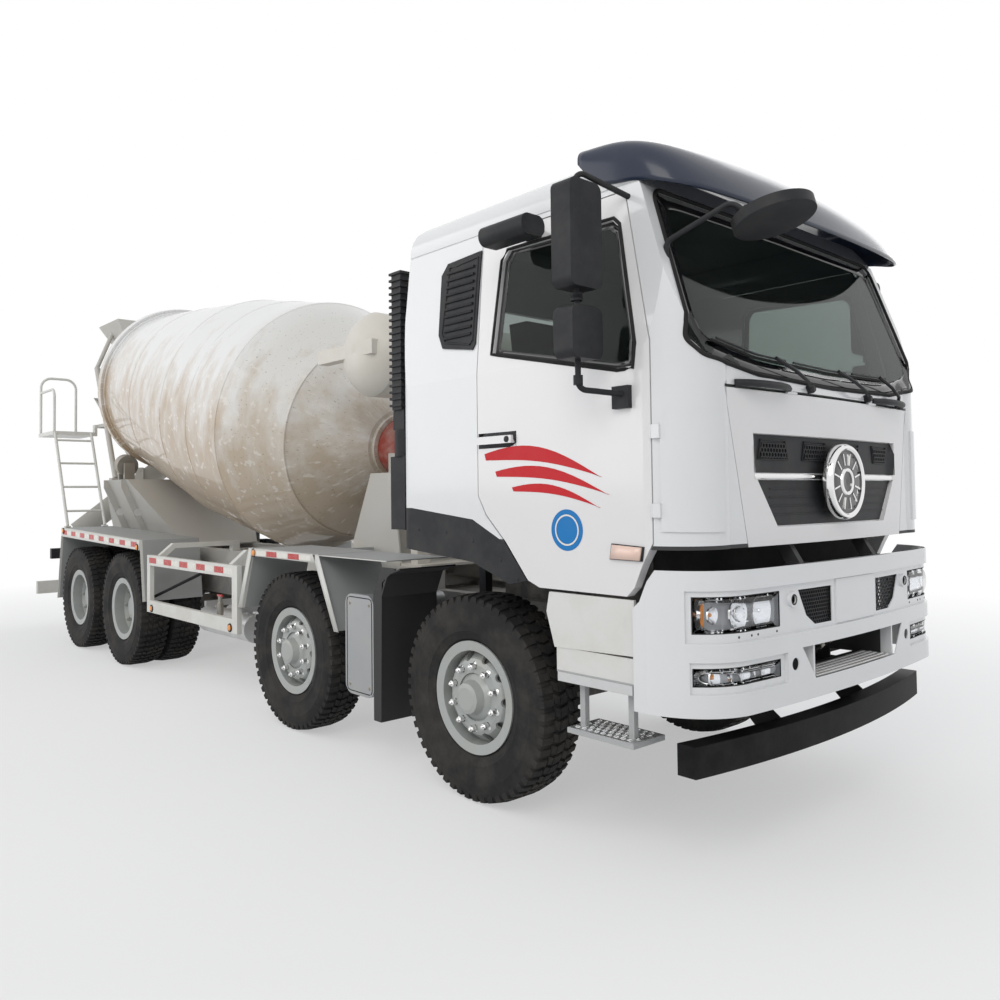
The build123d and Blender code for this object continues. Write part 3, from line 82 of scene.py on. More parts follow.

# %% [markdown]
# ## Helpers for meshes
# Nearly everything here is either turned on an axle, pushed out along a line, or a small block repeated
# many times. One bmesh per part keeps it a single clean mesh. Where a piece asks for it, a bevel modifier
# gives its hard edges the small round that catches the light on real sheet metal; the other smooth pieces
# get an edge split.

# %% A piece in the scene
def piece(name, mesh, body, material, bevel=0.0, smooth=True, outward=False):
    """Puts a mesh in the scene as one part that rides on a body, its faces turned outward if asked."""
    if outward:
        bmesh.ops.recalc_face_normals(mesh, faces=mesh.faces)
    data = bpy.data.meshes.new(name)
    mesh.normal_update()
    mesh.to_mesh(data)
    mesh.free()
    made = bpy.data.objects.new(name, data)
    bpy.context.scene.collection.objects.link(made)
    data.materials.append(material)
    if smooth:
        data.shade_smooth()
    if bevel:
        soft = made.modifiers.new("edge", "BEVEL")
        soft.width, soft.segments, soft.limit_method = bevel, 2, "ANGLE"
        soft.harden_normals = True
    elif smooth:
        split = made.modifiers.new("split", "EDGE_SPLIT")
        split.split_angle = radians(35)
    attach(made, body)
    print(f"{name}: {len(data.polygons)} faces, on {body}")
    return made

# %% [markdown]
# A box could be an object that is scaled to size, but a scale left on an object upsets bevels and exports.
# Here its corners are moved in the mesh. A turned form is a profile spun in steps, as on a lathe: many
# steps where the form is large or shines, few where it is small.

# %% Boxes and turned forms
def add_box(mesh, corner_a, corner_b):
    """Adds a box between two opposite corners, given in any order."""
    low, high = [Vector([pick(pair) for pair in zip(corner_a, corner_b)]) for pick in (min, max)]
    for vert in bmesh.ops.create_cube(mesh, size=1.0)["verts"]:
        vert.co = Vector([low[i] + (high[i] - low[i]) * (vert.co[i] + 0.5) for i in range(3)])


def add_turned(mesh, profile, centre, axis=(0, 1, 0), steps=48, closed=False):
    """Adds a form turned about an axis: profile is a list of (radius, distance along the axis)."""
    axis = Vector(axis).normalized()
    side = axis.orthogonal().normalized()
    third = axis.cross(side)
    rings = []
    for k in range(steps):
        turn = tau * k / steps
        out = side * cos(turn) + third * sin(turn)
        rings.append([mesh.verts.new(Vector(centre) + out * r + axis * y) for r, y in profile])
    count = len(profile) if closed else len(profile) - 1
    for k in range(steps):
        here, there = rings[k], rings[(k + 1) % steps]
        for i in range(count):
            j = (i + 1) % len(profile)
            mesh.faces.new((here[i], here[j], there[j], there[i]))
    return rings

# %% [markdown]
# Handles, hoses and arms are round bars along a line. A curve with a bevel could do it too. A mesh made
# ring by ring was chosen because it joins the other forms of a piece at once.

# %% Round bars
def add_tube(mesh, points, radius, sides=10):
    """Adds a round bar along a list of points, with flat ends."""
    points = [Vector(p) for p in points]
    rings = []
    for i, point in enumerate(points):
        before, after = points[max(i - 1, 0)], points[min(i + 1, len(points) - 1)]
        along = (after - before).normalized()
        side = side - along * side.dot(along) if rings else along.orthogonal()
        side.normalize()
        third = along.cross(side)
        turns = [tau * k / sides for k in range(sides)]
        rings.append([mesh.verts.new(point + (side * cos(t) + third * sin(t)) * radius) for t in turns])
    for here, there in zip(rings, rings[1:]):
        for k in range(sides):
            j = (k + 1) % sides
            mesh.faces.new((here[k], here[j], there[j], there[k]))
    mesh.faces.new(reversed(rings[0]))
    mesh.faces.new(rings[-1])

# %% [markdown]
# ## Finishes
# A finish is a small tree of shader nodes: some make a pattern, some do sums on it, and the last ones mix
# colours. Each kind of node gets a short helper, so that a finish below reads like a recipe. Numbers that
# are the same all over are set on the shader's own sockets.

# %% Shader helpers
def new_material(name):
    """A new material, with its tree and its shader."""
    made = bpy.data.materials.new(name)
    made.use_nodes = True
    return made, made.node_tree, made.node_tree.nodes["Principled BSDF"]


def feed(tree, socket, given):
    """Gives a socket a number, a colour or what another node puts out."""
    if isinstance(given, bpy.types.NodeSocket):
        tree.links.new(given, socket)
    else:
        socket.default_value = (*given, 1) if isinstance(given, tuple) else given


def maths(tree, operation, a, b=0.0, clamp=False):
    """A sum on one or two values."""
    node = tree.nodes.new("ShaderNodeMath")
    node.operation, node.use_clamp = operation, clamp
    for socket, given in zip(node.inputs, (a, b)):
        feed(tree, socket, given)
    return node.outputs["Value"]

# %% Ramps, mixes and noise
def ramp(tree, value, low, high, first=0.0, last=1.0):
    """Turns the values from low to high into those from first to last, and holds them beyond."""
    node = tree.nodes.new("ShaderNodeMapRange")
    for name, given in (("From Min", low), ("From Max", high), ("To Min", first), ("To Max", last)):
        node.inputs[name].default_value = given
    tree.links.new(value, node.inputs["Value"])
    return node.outputs["Result"]


def mixed(tree, share, a, b, kind="RGBA"):
    """Mixes two colours, or two values where the kind is VALUE."""
    node = tree.nodes.new("ShaderNodeMix")
    node.data_type = "RGBA" if kind == "RGBA" else "FLOAT"
    ends = [socket for socket in node.inputs if socket.name in ("A", "B") and socket.type == kind]
    for socket, given in zip((node.inputs["Factor"], *ends), (share, a, b)):
        feed(tree, socket, given)
    return [socket for socket in node.outputs if socket.type == kind][0]


def noise(tree, place, scale, detail, rough=0.5):
    """Soft noise over a place."""
    node = tree.nodes.new("ShaderNodeTexNoise")
    for name, given in (("Scale", scale), ("Detail", detail), ("Roughness", rough)):
        node.inputs[name].default_value = given
    tree.links.new(place, node.inputs["Vector"])
    return node.outputs["Fac"]


def split(tree, place):
    """The three numbers of a place."""
    node = tree.nodes.new("ShaderNodeSeparateXYZ")
    tree.links.new(place, node.inputs["Vector"])
    return node.outputs

# %% [markdown]
# Paint on a working truck is never one flat colour: there is dust in soft patches, more of it low down, and
# the gloss breaks up where dust lies. One function lays that out for every painted, cast or moulded surface:
# a colour, a dust colour let in through noise, and a fine bump.

# %% Finish helper
def finish(
    name, colour, rough=0.4, metal=0.0, coat=0.0, dust=(0.50, 0.46, 0.39), amount=0.15, patch=2.5,
    low=0.0, low_top=1.2, grain=0.0, grain_size=300.0, spec=0.5,
):
    """Makes a worn surface: dust in patches and low down, and a fine bump."""
    made, tree, shader = new_material(name)
    shader.inputs["Metallic"].default_value = metal
    shader.inputs["Coat Weight"].default_value = coat
    shader.inputs["Coat Roughness"].default_value = 0.08
    shader.inputs["Specular IOR Level"].default_value = spec
    place = tree.nodes.new("ShaderNodeTexCoord").outputs["Object"]
    dusty = ramp(tree, noise(tree, place, patch, 8.0, 0.65), 0.42, 0.75, last=amount)
    if low:
        height = ramp(tree, split(tree, place)["Z"], low_top, 0.1, last=low)
        dusty = maths(tree, "ADD", dusty, height, clamp=True)
    tree.links.new(mixed(tree, dusty, colour, dust), shader.inputs["Base Color"])
    shine = ramp(tree, dusty, 0.0, 1.0, rough, min(1.0, rough + 0.45))
    tree.links.new(shine, shader.inputs["Roughness"])
    if grain:
        bump = tree.nodes.new("ShaderNodeBump")
        bump.inputs["Strength"].default_value = grain
        bump.inputs["Distance"].default_value = 0.002
        tree.links.new(noise(tree, place, grain_size, 4.0), bump.inputs["Height"])
        tree.links.new(bump.outputs["Normal"], shader.inputs["Normal"])
    return made

# %% [markdown]
# Each finish is named for what it is made of. Washed paint has a clear coat and little dust, paint near the
# drum and the wheels has much. Metals reflect in their own colour, so they are marked as metal in full or
# in part. Rubber and plastic reflect less than paint does, which a lower specular level gives.

# %% Paints, metals and plastics
white_paint = finish("cab white", (0.76, 0.75, 0.755), 0.16, coat=0.6, amount=0.05, low=0.10, low_top=1.3)
white_steel = finish(
    "chassis white", (0.70, 0.70, 0.67), 0.38, amount=0.35, patch=4, low=0.25, grain=0.1,
    grain_size=120,
)
deck_grey = finish(
    "mixer grey", (0.50, 0.49, 0.46), 0.5, amount=0.5, patch=3, dust=(0.55, 0.50, 0.42), grain=0.2,
    grain_size=90,
)
tank_cream = finish("tank cream", (0.66, 0.63, 0.57), 0.42, amount=0.3, patch=3)
chassis_grey = finish("frame grey", (0.20, 0.20, 0.20), 0.55, amount=0.6, patch=5, low=0.3)
cast_dark = finish(
    "cast iron", (0.05, 0.05, 0.052), 0.6, amount=0.45, patch=6, low=0.25, grain=0.3, grain_size=150,
)
black_plastic = finish(
    "black plastic", (0.018, 0.019, 0.022), 0.48, amount=0.10, patch=5, grain=0.15, grain_size=700,
    dust=(0.25, 0.24, 0.22), spec=0.22,
)
visor_plastic = finish(
    "visor", (0.022, 0.030, 0.055), 0.2, coat=0.15, amount=0.06, dust=(0.2, 0.2, 0.2), spec=0.3,
)
interior_plastic = finish("cab trim", (0.10, 0.10, 0.10), 0.6, amount=0.1, grain=0.2, grain_size=500)
black_steel = finish(
    "black steel", (0.010, 0.010, 0.011), 0.5, amount=0.08, patch=6, dust=(0.2, 0.19, 0.18),
    spec=0.08,
)
red_paint = finish("gearbox red", (0.30, 0.035, 0.02), 0.45, amount=0.5, patch=8)
roller_steel = finish("roller steel", (0.35, 0.33, 0.30), 0.45, metal=0.6, amount=0.4, patch=9)
cover_grey = finish("cover grey", (0.36, 0.37, 0.38), 0.4, metal=0.4, amount=0.3, patch=4)
aluminium = finish("aluminium", (0.62, 0.63, 0.64), 0.35, metal=0.85, amount=0.35, patch=7)
chrome = finish("chrome", (0.80, 0.80, 0.80), 0.10, metal=1.0, amount=0.05)
wheel_grey = finish(
    "wheel grey", (0.40, 0.42, 0.41), 0.42, metal=0.2, amount=0.35, patch=6, dust=(0.45, 0.41, 0.34),
)
rubber = finish(
    "tyre rubber", (0.022, 0.022, 0.023), 0.72, amount=0.30, patch=4, dust=(0.17, 0.15, 0.125),
    grain=0.25, grain_size=260, spec=0.15,
)
amber = finish("amber lens", (0.85, 0.28, 0.02), 0.15, coat=0.6, amount=0.03)
tape_red = finish("tape red", (0.50, 0.03, 0.03), 0.25, amount=0.15, patch=20)
tape_white = finish("tape white", (0.78, 0.76, 0.70), 0.25, amount=0.15, patch=20)
black_gloss = finish("black gloss", (0.010, 0.010, 0.012), 0.12, coat=0.4, amount=0.05)
black_rubber = finish(
    "black rubber", (0.014, 0.014, 0.015), 0.65, amount=0.15, dust=(0.2, 0.19, 0.17), spec=0.15,
)
lamp_silver = finish("lamp silver", (0.86, 0.87, 0.88), 0.25, metal=0.05, coat=0.6, amount=0.04, patch=12)
mirror_glass = finish("mirror glass", (0.85, 0.87, 0.88), 0.03, metal=1.0, amount=0.02)
lens_peach = finish("side lamp lens", (0.86, 0.62, 0.52), 0.15, coat=0.5, amount=0.05)
decal_red = finish("decal red", (0.56, 0.012, 0.02), 0.35, amount=0.04, spec=0.2)
decal_blue = finish("decal blue", (0.015, 0.19, 0.50), 0.35, amount=0.04, spec=0.2)
print("finishes:", len(bpy.data.materials))

# %% [markdown]
# ## Drum paint
# Concrete dust is washed round a drum as it turns, so its stains run round it and not along it. The pattern
# is laid out by station along the axis and by turn about it. The colour goes from pale on the upper side to
# a darker beige on the underside, and fine dark spatter lies on the front cone, where the wheels throw it.

# %% Drum finish
drum_foot, drum_rise = at(-2.150, 0, 2.080), radians(11.5)


def drum_finish():
    """Off-white paint, a darker beige towards the underside, with beige stains that run round the drum, and
    spatter on the front cone.
    """
    made, tree, shader = new_material("drum paint")
    shader.inputs["Specular IOR Level"].default_value = 0.4
    shader.inputs["Coat Weight"].default_value = 0.6
    moved = tree.nodes.new("ShaderNodeVectorMath")
    moved.operation = "SUBTRACT"
    tree.links.new(tree.nodes.new("ShaderNodeTexCoord").outputs["Object"], moved.inputs[0])
    moved.inputs[1].default_value = drum_foot
    turned = tree.nodes.new("ShaderNodeVectorRotate")
    turned.rotation_type = "Y_AXIS"
    turned.inputs["Angle"].default_value = -drum_rise
    tree.links.new(moved.outputs["Vector"], turned.inputs["Vector"])
    along, across, up = split(tree, turned.outputs["Vector"])
    turn = maths(tree, "ARCTAN2", across, up)

    def cloud(scale, lengthways, around, detail):
        """Noise laid out by station along the drum and by turn about it."""
        place = tree.nodes.new("ShaderNodeCombineXYZ")
        tree.links.new(maths(tree, "MULTIPLY", along, lengthways), place.inputs["X"])
        tree.links.new(maths(tree, "MULTIPLY", turn, around), place.inputs["Y"])
        return noise(tree, place.outputs["Vector"], scale, detail, 0.6)

    def shade(paint, share, strength, colour):
        """Lets a colour in over the paint."""
        return mixed(tree, maths(tree, "MULTIPLY", share, strength), paint, colour)

    streak = cloud(2.6, 2.2, 0.9, 9.0)
    patches = maths(tree, "MULTIPLY", maths(tree, "SUBTRACT", streak, 0.5), 1.3)
    # Paler towards the top and a darker beige towards the underside, broken up by the stains' patches.
    height = maths(tree, "ADD", ramp(tree, up, -0.95, 1.15), patches)
    paint = mixed(tree, ramp(tree, height, 0.25, 0.75), (0.50, 0.395, 0.285), (0.80, 0.80, 0.79))
    splashes = ramp(tree, cloud(9.0, 1.3, 1.4, 2.0), 0.60, 0.65)
    paint = shade(paint, splashes, 0.55, (0.84, 0.81, 0.76))
    cone = ramp(tree, along, -1.25, -0.75)
    paint = shade(paint, cone, 0.35, (0.44, 0.40, 0.33))
    spatter = maths(tree, "MULTIPLY", ramp(tree, cloud(46.0, 1.0, 1.0, 2.0), 0.66, 0.70), cone)
    paint = shade(paint, spatter, 0.75, (0.17, 0.15, 0.12))
    tree.links.new(paint, shader.inputs["Base Color"])
    shine = maths(tree, "ADD", maths(tree, "MULTIPLY", streak, 0.35), 0.22)
    tree.links.new(shine, shader.inputs["Roughness"])
    return made


drum_shell = drum_finish()
print("drum paint:", len(drum_shell.node_tree.nodes), "nodes")

# %% [markdown]
# Window glass needs its own shader: it lets light through, with a slight green-grey tint from the sheet's
# iron. Lamp lenses are the same clear plastic without the tint. A see-through mix would be simpler, but it
# would lose the reflections that make a pane look like glass.

# %% Glass
def glass(name, colour, bend=1.45):
    """Clear tinted sheet."""
    made, _, shader = new_material(name)
    shader.inputs["Base Color"].default_value = (*colour, 1)
    shader.inputs["Roughness"].default_value = 0.0
    shader.inputs["Transmission Weight"].default_value = 1.0
    shader.inputs["IOR"].default_value = bend
    return made


window_glass = glass("window glass", (0.20, 0.235, 0.22), bend=1.2)
lens_clear = glass("lens", (0.95, 0.97, 1.0))
print("clear sheets:", window_glass.name, "and", lens_clear.name)

# %% [markdown]
# ## Paint and painted shade that change by place
# Some imported parts are one solid but carry two colours on the real truck: the fenders are white on their
# edges and grey on top. Others get painted shade by place: the bumper is white outside and nearly black
# inside, the cab shell nearly black below 1.437 m and the frame nearly black at its front end, where these
# parts lie in shade in the gaps round the bumper. The steps turn grey below 0.83 m. A second colour is mixed
# in by the place on the part, worked out with plain arithmetic in the shader.

# %% Two-colour helper
def second_colour(material, rule, colour, rough=0.6):
    """Mixes in a colour where rule, an expression tree on x, y and z, is above nought."""
    tree = material.node_tree
    place = split(tree, tree.nodes.new("ShaderNodeTexCoord").outputs["Object"])

    def value(part):
        """What one part of the rule comes to."""
        if isinstance(part, str):
            return place[part.upper()]
        if isinstance(part, tuple):
            return maths(tree, part[0], *[value(p) for p in part[1:]])
        return part

    share = value(("GREATER_THAN", rule, 0.0))
    shader = tree.nodes["Principled BSDF"]
    for name, other in (("Base Color", colour), ("Roughness", rough), ("Coat Weight", 0.0)):
        socket = shader.inputs[name]
        kind = "RGBA" if name == "Base Color" else "VALUE"
        before = socket.links[0].from_socket if socket.links else socket.default_value
        tree.links.new(mixed(tree, share, before, other, kind), socket)

# %% Two-colour parts and painted shade
bumper_paint_and_shade = finish("bumper white and painted shade", (0.74, 0.75, 0.76), 0.2, coat=0.4, amount=0.06, low=0.08, low_top=1.2)
# Painted shade: the bumper's faces behind its front bow, within 1.19 m of the middle, are nearly black, as
# the gap behind the bumper lies in shade.
bow = ("ADD", "x", ("MULTIPLY", ("MULTIPLY", "y", "y"), 0.115))
deep = ("SUBTRACT", axle_1 + 1.525, bow)
within = ("SUBTRACT", 1.19, ("ABSOLUTE", "y"))
second_colour(bumper_paint_and_shade, ("MINIMUM", deep, within), (0.03, 0.03, 0.032))
shell_paint_and_shade = finish(
    "cab shell white and painted shade", (0.74, 0.75, 0.76), 0.16, coat=0.6, amount=0.05, low=0.10, low_top=1.3,
)
# Painted shade: the cab shell is nearly black below 1.437 m, where the gap between flap and bumper lies in
# shade.
second_colour(shell_paint_and_shade, ("SUBTRACT", 1.437, "z"), (0.03, 0.03, 0.032))
frame_paint_and_shade = finish("frame grey", (0.20, 0.20, 0.20), 0.55, amount=0.6, patch=5, low=0.3)
# Painted shade: the frame is nearly black forward of 0.75 m ahead of the first axle, where it lies in shade
# behind the bumper.
second_colour(frame_paint_and_shade, ("SUBTRACT", "x", axle_1 + 0.75), (0.025, 0.025, 0.027))
fender_paint = finish("fender white", (0.66, 0.66, 0.63), 0.4, amount=0.35, patch=4, low=0.2)
second_colour(fender_paint, ("SUBTRACT", 1.195, ("ABSOLUTE", "y")), (0.34, 0.35, 0.35))
guard = ("MINIMUM", ("SUBTRACT", "x", axle_1 - 0.80), ("SUBTRACT", 1.2405, "z"))
second_colour(fender_paint, guard, (0.022, 0.022, 0.023))
step_paint = finish("step white", (0.72, 0.72, 0.70), 0.4, amount=0.3, patch=5, low=0.2)
second_colour(step_paint, ("SUBTRACT", 0.83, "z"), (0.42, 0.43, 0.43), 0.42)
print("finishes with the two-coloured ones:", len(bpy.data.materials))

# %% [markdown]
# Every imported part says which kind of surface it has. One table gives each kind its finish, and a second
# one names the five parts that have a finish of their own.

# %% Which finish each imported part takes
finish_of = {
    "chassis_grey": chassis_grey,
    "cast_dark": cast_dark,
    "aluminium_tank": aluminium,
    "grey_cover": cover_grey,
    "black_plastic": black_plastic,
    "visor_plastic": visor_plastic,
    "interior_plastic": interior_plastic,
    "white_paint": white_paint,
    "white_steel": white_steel,
    "lamp_clear": chrome,
    "black_steel": black_steel,
    "glass": window_glass,
    "drum_paint": drum_shell,
    "red_paint": red_paint,
    "deck_grey": deck_grey,
    "tank_cream": tank_cream,
    "roller_steel": roller_steel,
    "tyre_rubber": rubber,
    "wheel_steel": wheel_grey,
}
finish_of_part = {
    "bumper": bumper_paint_and_shade,
    "cab_shell": shell_paint_and_shade,
    "frame": frame_paint_and_shade,
    "fenders": fender_paint,
    "cab_steps": step_paint,
}
slot_of = {part["node"]: part["material_slot"] for part in frame["record"]["subparts"]}
for name, node in frame["nodes"].items():
    node.data.materials.clear()
    node.data.materials.append(finish_of_part.get(name, finish_of[slot_of[name]]))
print("finishes laid on", len(slot_of), "packed parts")

# %% [markdown]
# ## Laying parts on curved panels
# Seals, tapes, mesh and lenses follow panels that curve in two ways. They are drawn flat, in front view or
# side view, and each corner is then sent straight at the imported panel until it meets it. The piece takes
# the panel's own curve, and a lift of a millimetre or two keeps it off the paint.

# %% From a start point to the panel
FRONT, RIGHT, LEFT = Vector((-1, 0, 0)), Vector((0, 1, 0)), Vector((0, -1, 0))


def surface(*names):
    """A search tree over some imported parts."""
    verts, faces = [], []
    for name in names:
        node = frame["nodes"][name]
        start = len(verts)
        verts += [node.matrix_world @ v.co for v in node.data.vertices]
        faces += [[start + i for i in p.vertices] for p in node.data.polygons]
    return BVHTree.FromPolygons(verts, faces)


def front(y, z):
    """A start point in front of the truck."""
    return at(3.0, y, z)


def beside(x, z, sign=-1):
    """A start point beside the truck, on the right for -1."""
    return at(x, sign * 2.2, z)


def lay(tree, point, way, lift=0.0):
    """Where a point sent along a direction meets the panel, lifted off it."""
    hit, normal, _, _ = tree.ray_cast(point, way)
    if hit is None:
        raise ValueError(f"nothing under {tuple(round(c, 3) for c in point)}")
    return hit + (normal if normal.dot(way) < 0 else -normal) * lift

# %% [markdown]
# A line is cut into short steps before it is laid, because one long straight step would run through a
# curved panel or stand off it.

# %% Lines on a panel
def trace(points, spacing, closed=False):
    """Points at an even spacing or less along a line with corners."""
    points = [Vector(p) for p in points]
    ends = points[1:] + points[:1] if closed else points[1:]
    made = []
    for a, b in zip(points, ends):
        count = max(1, round((b - a).length / spacing))
        made += [a.lerp(b, i / count) for i in range(count)]
    return made if closed else made + [points[-1]]


def laid(tree, points, spacing, way, lift=0.0):
    """A closed line at an even spacing, each of its points laid on the panel."""
    return [lay(tree, p, way, lift) for p in trace(points, spacing, closed=True)]

# %% [markdown]
# A sheet could be wrapped on by a modifier. Cutting it in a grid and laying each corner does the same in
# plain steps, and its edge stays exactly where it was drawn.

# %% Sheets and strips on a panel
def add_patch(mesh, tree, points, way, lift, spacing=0.05):
    """Adds a sheet with this outline, wrapped over the panel."""
    part = bmesh.new()
    part.faces.new([part.verts.new(p) for p in points])
    flat = [k for k in range(3) if abs(way[k]) < 0.5]
    for k in flat:
        low, high = min(p[k] for p in points), max(p[k] for p in points)
        count = max(1, round((high - low) / spacing))
        for i in range(1, count):
            spot, normal = Vector(), Vector()
            spot[k], normal[k] = low + (high - low) * i / count, 1.0
            every = part.verts[:] + part.edges[:] + part.faces[:]
            bmesh.ops.bisect_plane(part, geom=every, plane_co=spot, plane_no=normal)
    for vert in part.verts:
        vert.co = lay(tree, vert.co, way, lift)
    part.normal_update()
    if sum((f.normal for f in part.faces), Vector()).dot(way) > 0:
        bmesh.ops.reverse_faces(part, faces=part.faces)
    part.to_mesh(sheet := bpy.data.meshes.new("sheet"))
    part.free()
    mesh.from_mesh(sheet)


def add_band(mesh, tree, outer, inner, way, lift, spacing=0.05):
    """Adds a closed strip between two outlines with the same number of corners."""
    rows = [[], []]
    count = len(outer)
    for i in range(count):
        j = (i + 1) % count
        steps = max(1, round((Vector(outer[j]) - Vector(outer[i])).length / spacing))
        for k in range(steps):
            for row, line in zip(rows, (outer, inner)):
                spot = Vector(line[i]).lerp(Vector(line[j]), k / steps)
                row.append(mesh.verts.new(lay(tree, spot, way, lift)))
    made = []
    for i in range(len(rows[0])):
        j = (i + 1) % len(rows[0])
        made.append(mesh.faces.new((rows[0][i], rows[0][j], rows[1][j], rows[1][i])))
    mesh.normal_update()
    if sum((f.normal for f in made), Vector()).dot(way) > 0:
        bmesh.ops.reverse_faces(mesh, faces=made)

# %% Beads along an edge
def add_bead(mesh, points, radius, sides=8):
    """Adds a round bead along a closed line."""
    points = [Vector(p) for p in points]
    rings = []
    for i, point in enumerate(points):
        along = (points[(i + 1) % len(points)] - points[i - 1]).normalized()
        out = Vector((1, 0, 0)) if abs(along.x) < 0.8 else Vector((0, 0, 1))
        out = (out - along * out.dot(along)).normalized()
        third = along.cross(out)
        turns = [tau * k / sides for k in range(sides)]
        rings.append([mesh.verts.new(point + (out * cos(t) + third * sin(t)) * radius) for t in turns])
    for i, here in enumerate(rings):
        there = rings[(i + 1) % len(rings)]
        for k in range(sides):
            j = (k + 1) % sides
            mesh.faces.new((here[k], here[j], there[j], there[k]))

# %% Small helpers for outlines
def spread(a, b, count):
    """Evenly spaced numbers from a to b."""
    return [a + (b - a) * i / (count - 1) for i in range(count)]


def thick(made, depth):
    """Gives a sheet its thickness, inwards from the face that shows."""
    skin = made.modifiers.new("thickness", "SOLIDIFY")
    skin.thickness, skin.offset = depth, -1.0
    return made


def both_sides(points):
    """A half outline in front view and its mirror, as one closed outline."""
    return points + [(-y, z) for y, z in reversed(points) if y]

# %% [markdown]
# ## Tyres
# A truck tyre reads as a tyre because of three things: the deep blocks of its tread, the shoulder where they
# break off, and the fine rings moulded into the sidewall. The casing is one turned profile. The tread is one
# pitch of blocks, set round the casing by a loop, which costs few faces and gives real grooves that cast
# shadows, where a bump map would leave the outline smooth.

# %% One tyre
tread_depth = 0.016
pitches = 54
casing_radius = tyre_radius - tread_depth
half = tyre_width / 2


def casing_profile():
    """Half a casing from bead to crown as (radius, distance from the middle)."""
    side = [(0.264, 0.094), (0.300, 0.100), (0.312, 0.108), (0.318, 0.119), (0.330, 0.123), (0.345, 0.132)]
    side += [(0.356, 0.1355), (0.360, 0.1395), (0.366, 0.1395), (0.370, 0.1385), (0.400, 0.1455)]
    side += [(0.430, 0.1485), (0.452, 0.1490), (0.456, 0.1500), (0.462, 0.1500), (0.466, 0.1480)]
    side += [(0.492, 0.1450), (0.508, 0.1405), (0.524, 0.1340), (casing_radius - 0.006, 0.1270)]
    return side + [(casing_radius, 0.1150), (casing_radius + 0.002, 0.060)]


def tread_blocks(rib):
    """One pitch of blocks: (inner y, outer y, share of the pitch, skew, depth at the outer end)."""
    blocks = []
    for side in (-1, 1):
        blocks.append((side * 0.074, side * 0.138, 0.66, side * 0.10, 0.020))
        blocks.append((side * 0.030, side * 0.068, 0.80 if rib else 0.62, side * -0.25, 0.0))
    blocks.append((-0.024, 0.024, 0.84 if rib else 0.60, 0.20, 0.0))
    return blocks


def add_tyre(mesh, centre, rib):
    """Adds a casing and its blocks, on an axle along Y through a point."""
    start = len(mesh.verts)
    profile = [(r, -y) for r, y in casing_profile()] + [(r, y) for r, y in reversed(casing_profile())]
    add_turned(mesh, profile, centre, steps=72, closed=True)
    centre = Vector(centre)
    for k in range(pitches):
        for number, (y0, y1, share, skew, drop) in enumerate(tread_blocks(rib)):
            shift = 0.5 if number in (2, 3) else 0.0
            corners = []
            for y, lean in ((y0, 0.0), (y1, skew)):
                for edge in (-0.5, 0.5):
                    turn = tau * (k + shift + lean + edge * share) / pitches
                    falls = drop * abs(y) / 0.138 if y == y1 else 0.0
                    for radius in (casing_radius - 0.008 - falls * 1.2, tyre_radius - falls * 0.55):
                        slope = 0.004 if radius > casing_radius else 0.0
                        spot = turn - copysign(slope / tyre_radius, edge)
                        corners.append(centre + Vector((cos(spot) * radius, y, sin(spot) * radius)))
            a = [mesh.verts.new(c) for c in corners]
            for quad in ((1, 3, 7, 5), (0, 1, 5, 4), (2, 6, 7, 3), (0, 2, 3, 1), (4, 5, 7, 6)):
                mesh.faces.new([a[i] for i in quad])
    mesh.verts.ensure_lookup_table()
    return mesh.verts[start:]

# %% Tyres in their places
for name in sorted(n for n in frame["nodes"] if n.startswith("tyre")):
    low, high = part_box(name)
    twin = name.startswith("tyres")
    spots = [low[1] + half, high[1] - half] if twin else [(low[1] + high[1]) / 2]
    mesh = bmesh.new()
    for y in spots:
        add_tyre(mesh, ((low[0] + high[0]) / 2, y, tyre_radius), rib=not twin)
    wheel = name.replace("tyres", "wheel").replace("tyre", "wheel")
    made = piece(f"rubber_{name}", mesh, wheel, rubber, outward=True)
    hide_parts(name)

# %% [markdown]
# ## Wheel nuts
# Ten nuts hold each wheel. On the steered wheels they stand proud of the domed disc with long bright caps.
# On the driven wheels they sit deep inside the dish. Each is a hexagon on a conical washer with a round
# stud end. A rounder washer or stud would cost faces that nobody sees at this size.

# %% Nuts
stud_circle = 0.1675


def add_nut(mesh, centre, out, long):
    """Adds a hexagon nut with a washer and a stud end, pointing along out."""
    reach = 0.046 if long else 0.032
    washer = [(0.0, 0.0), (0.027, 0.0), (0.027, 0.005), (0.019, 0.012), (0.0, 0.012)]
    add_turned(mesh, washer, centre, out, steps=16)
    hexagon = [(0.0, 0.010), (0.0185, 0.010), (0.0185, reach - 0.004), (0.0155, reach), (0.0, reach)]
    add_turned(mesh, hexagon, centre, out, steps=6)
    stud = [(0.0, reach - 0.002), (0.010, reach - 0.002), (0.010, reach + 0.010)]
    stud += [(0.007, reach + 0.013), (0.0, reach + 0.013)]
    add_turned(mesh, stud, centre, out, steps=12)


for number, x in enumerate(axle_x, start=1):
    for side, sign in (("right", -1), ("left", 1)):
        steered = number < 3
        face = sign * (steer_y + 0.092) if steered else sign * 0.926
        out = Vector((0, sign, 0))
        mesh = bmesh.new()
        for k in range(10):
            turn = tau * (k + 0.5) / 10
            spot = Vector((x + cos(turn) * stud_circle, face, tyre_radius + sin(turn) * stud_circle))
            add_nut(mesh, spot, out, steered)
        piece(f"nuts_{number}_{side}", mesh, f"wheel_{number}_{side}", chrome, smooth=False, outward=True)

# %% [markdown]
# ## Windscreen
# The pane is bonded in: a black printed border hides the adhesive, and a rubber bead covers the gap to the
# painted frame. The wipers rest along the lower edge, each a long arm with a blade across its end. Border
# and bead could be painted on the glass; as pieces of their own they have an edge that catches light.

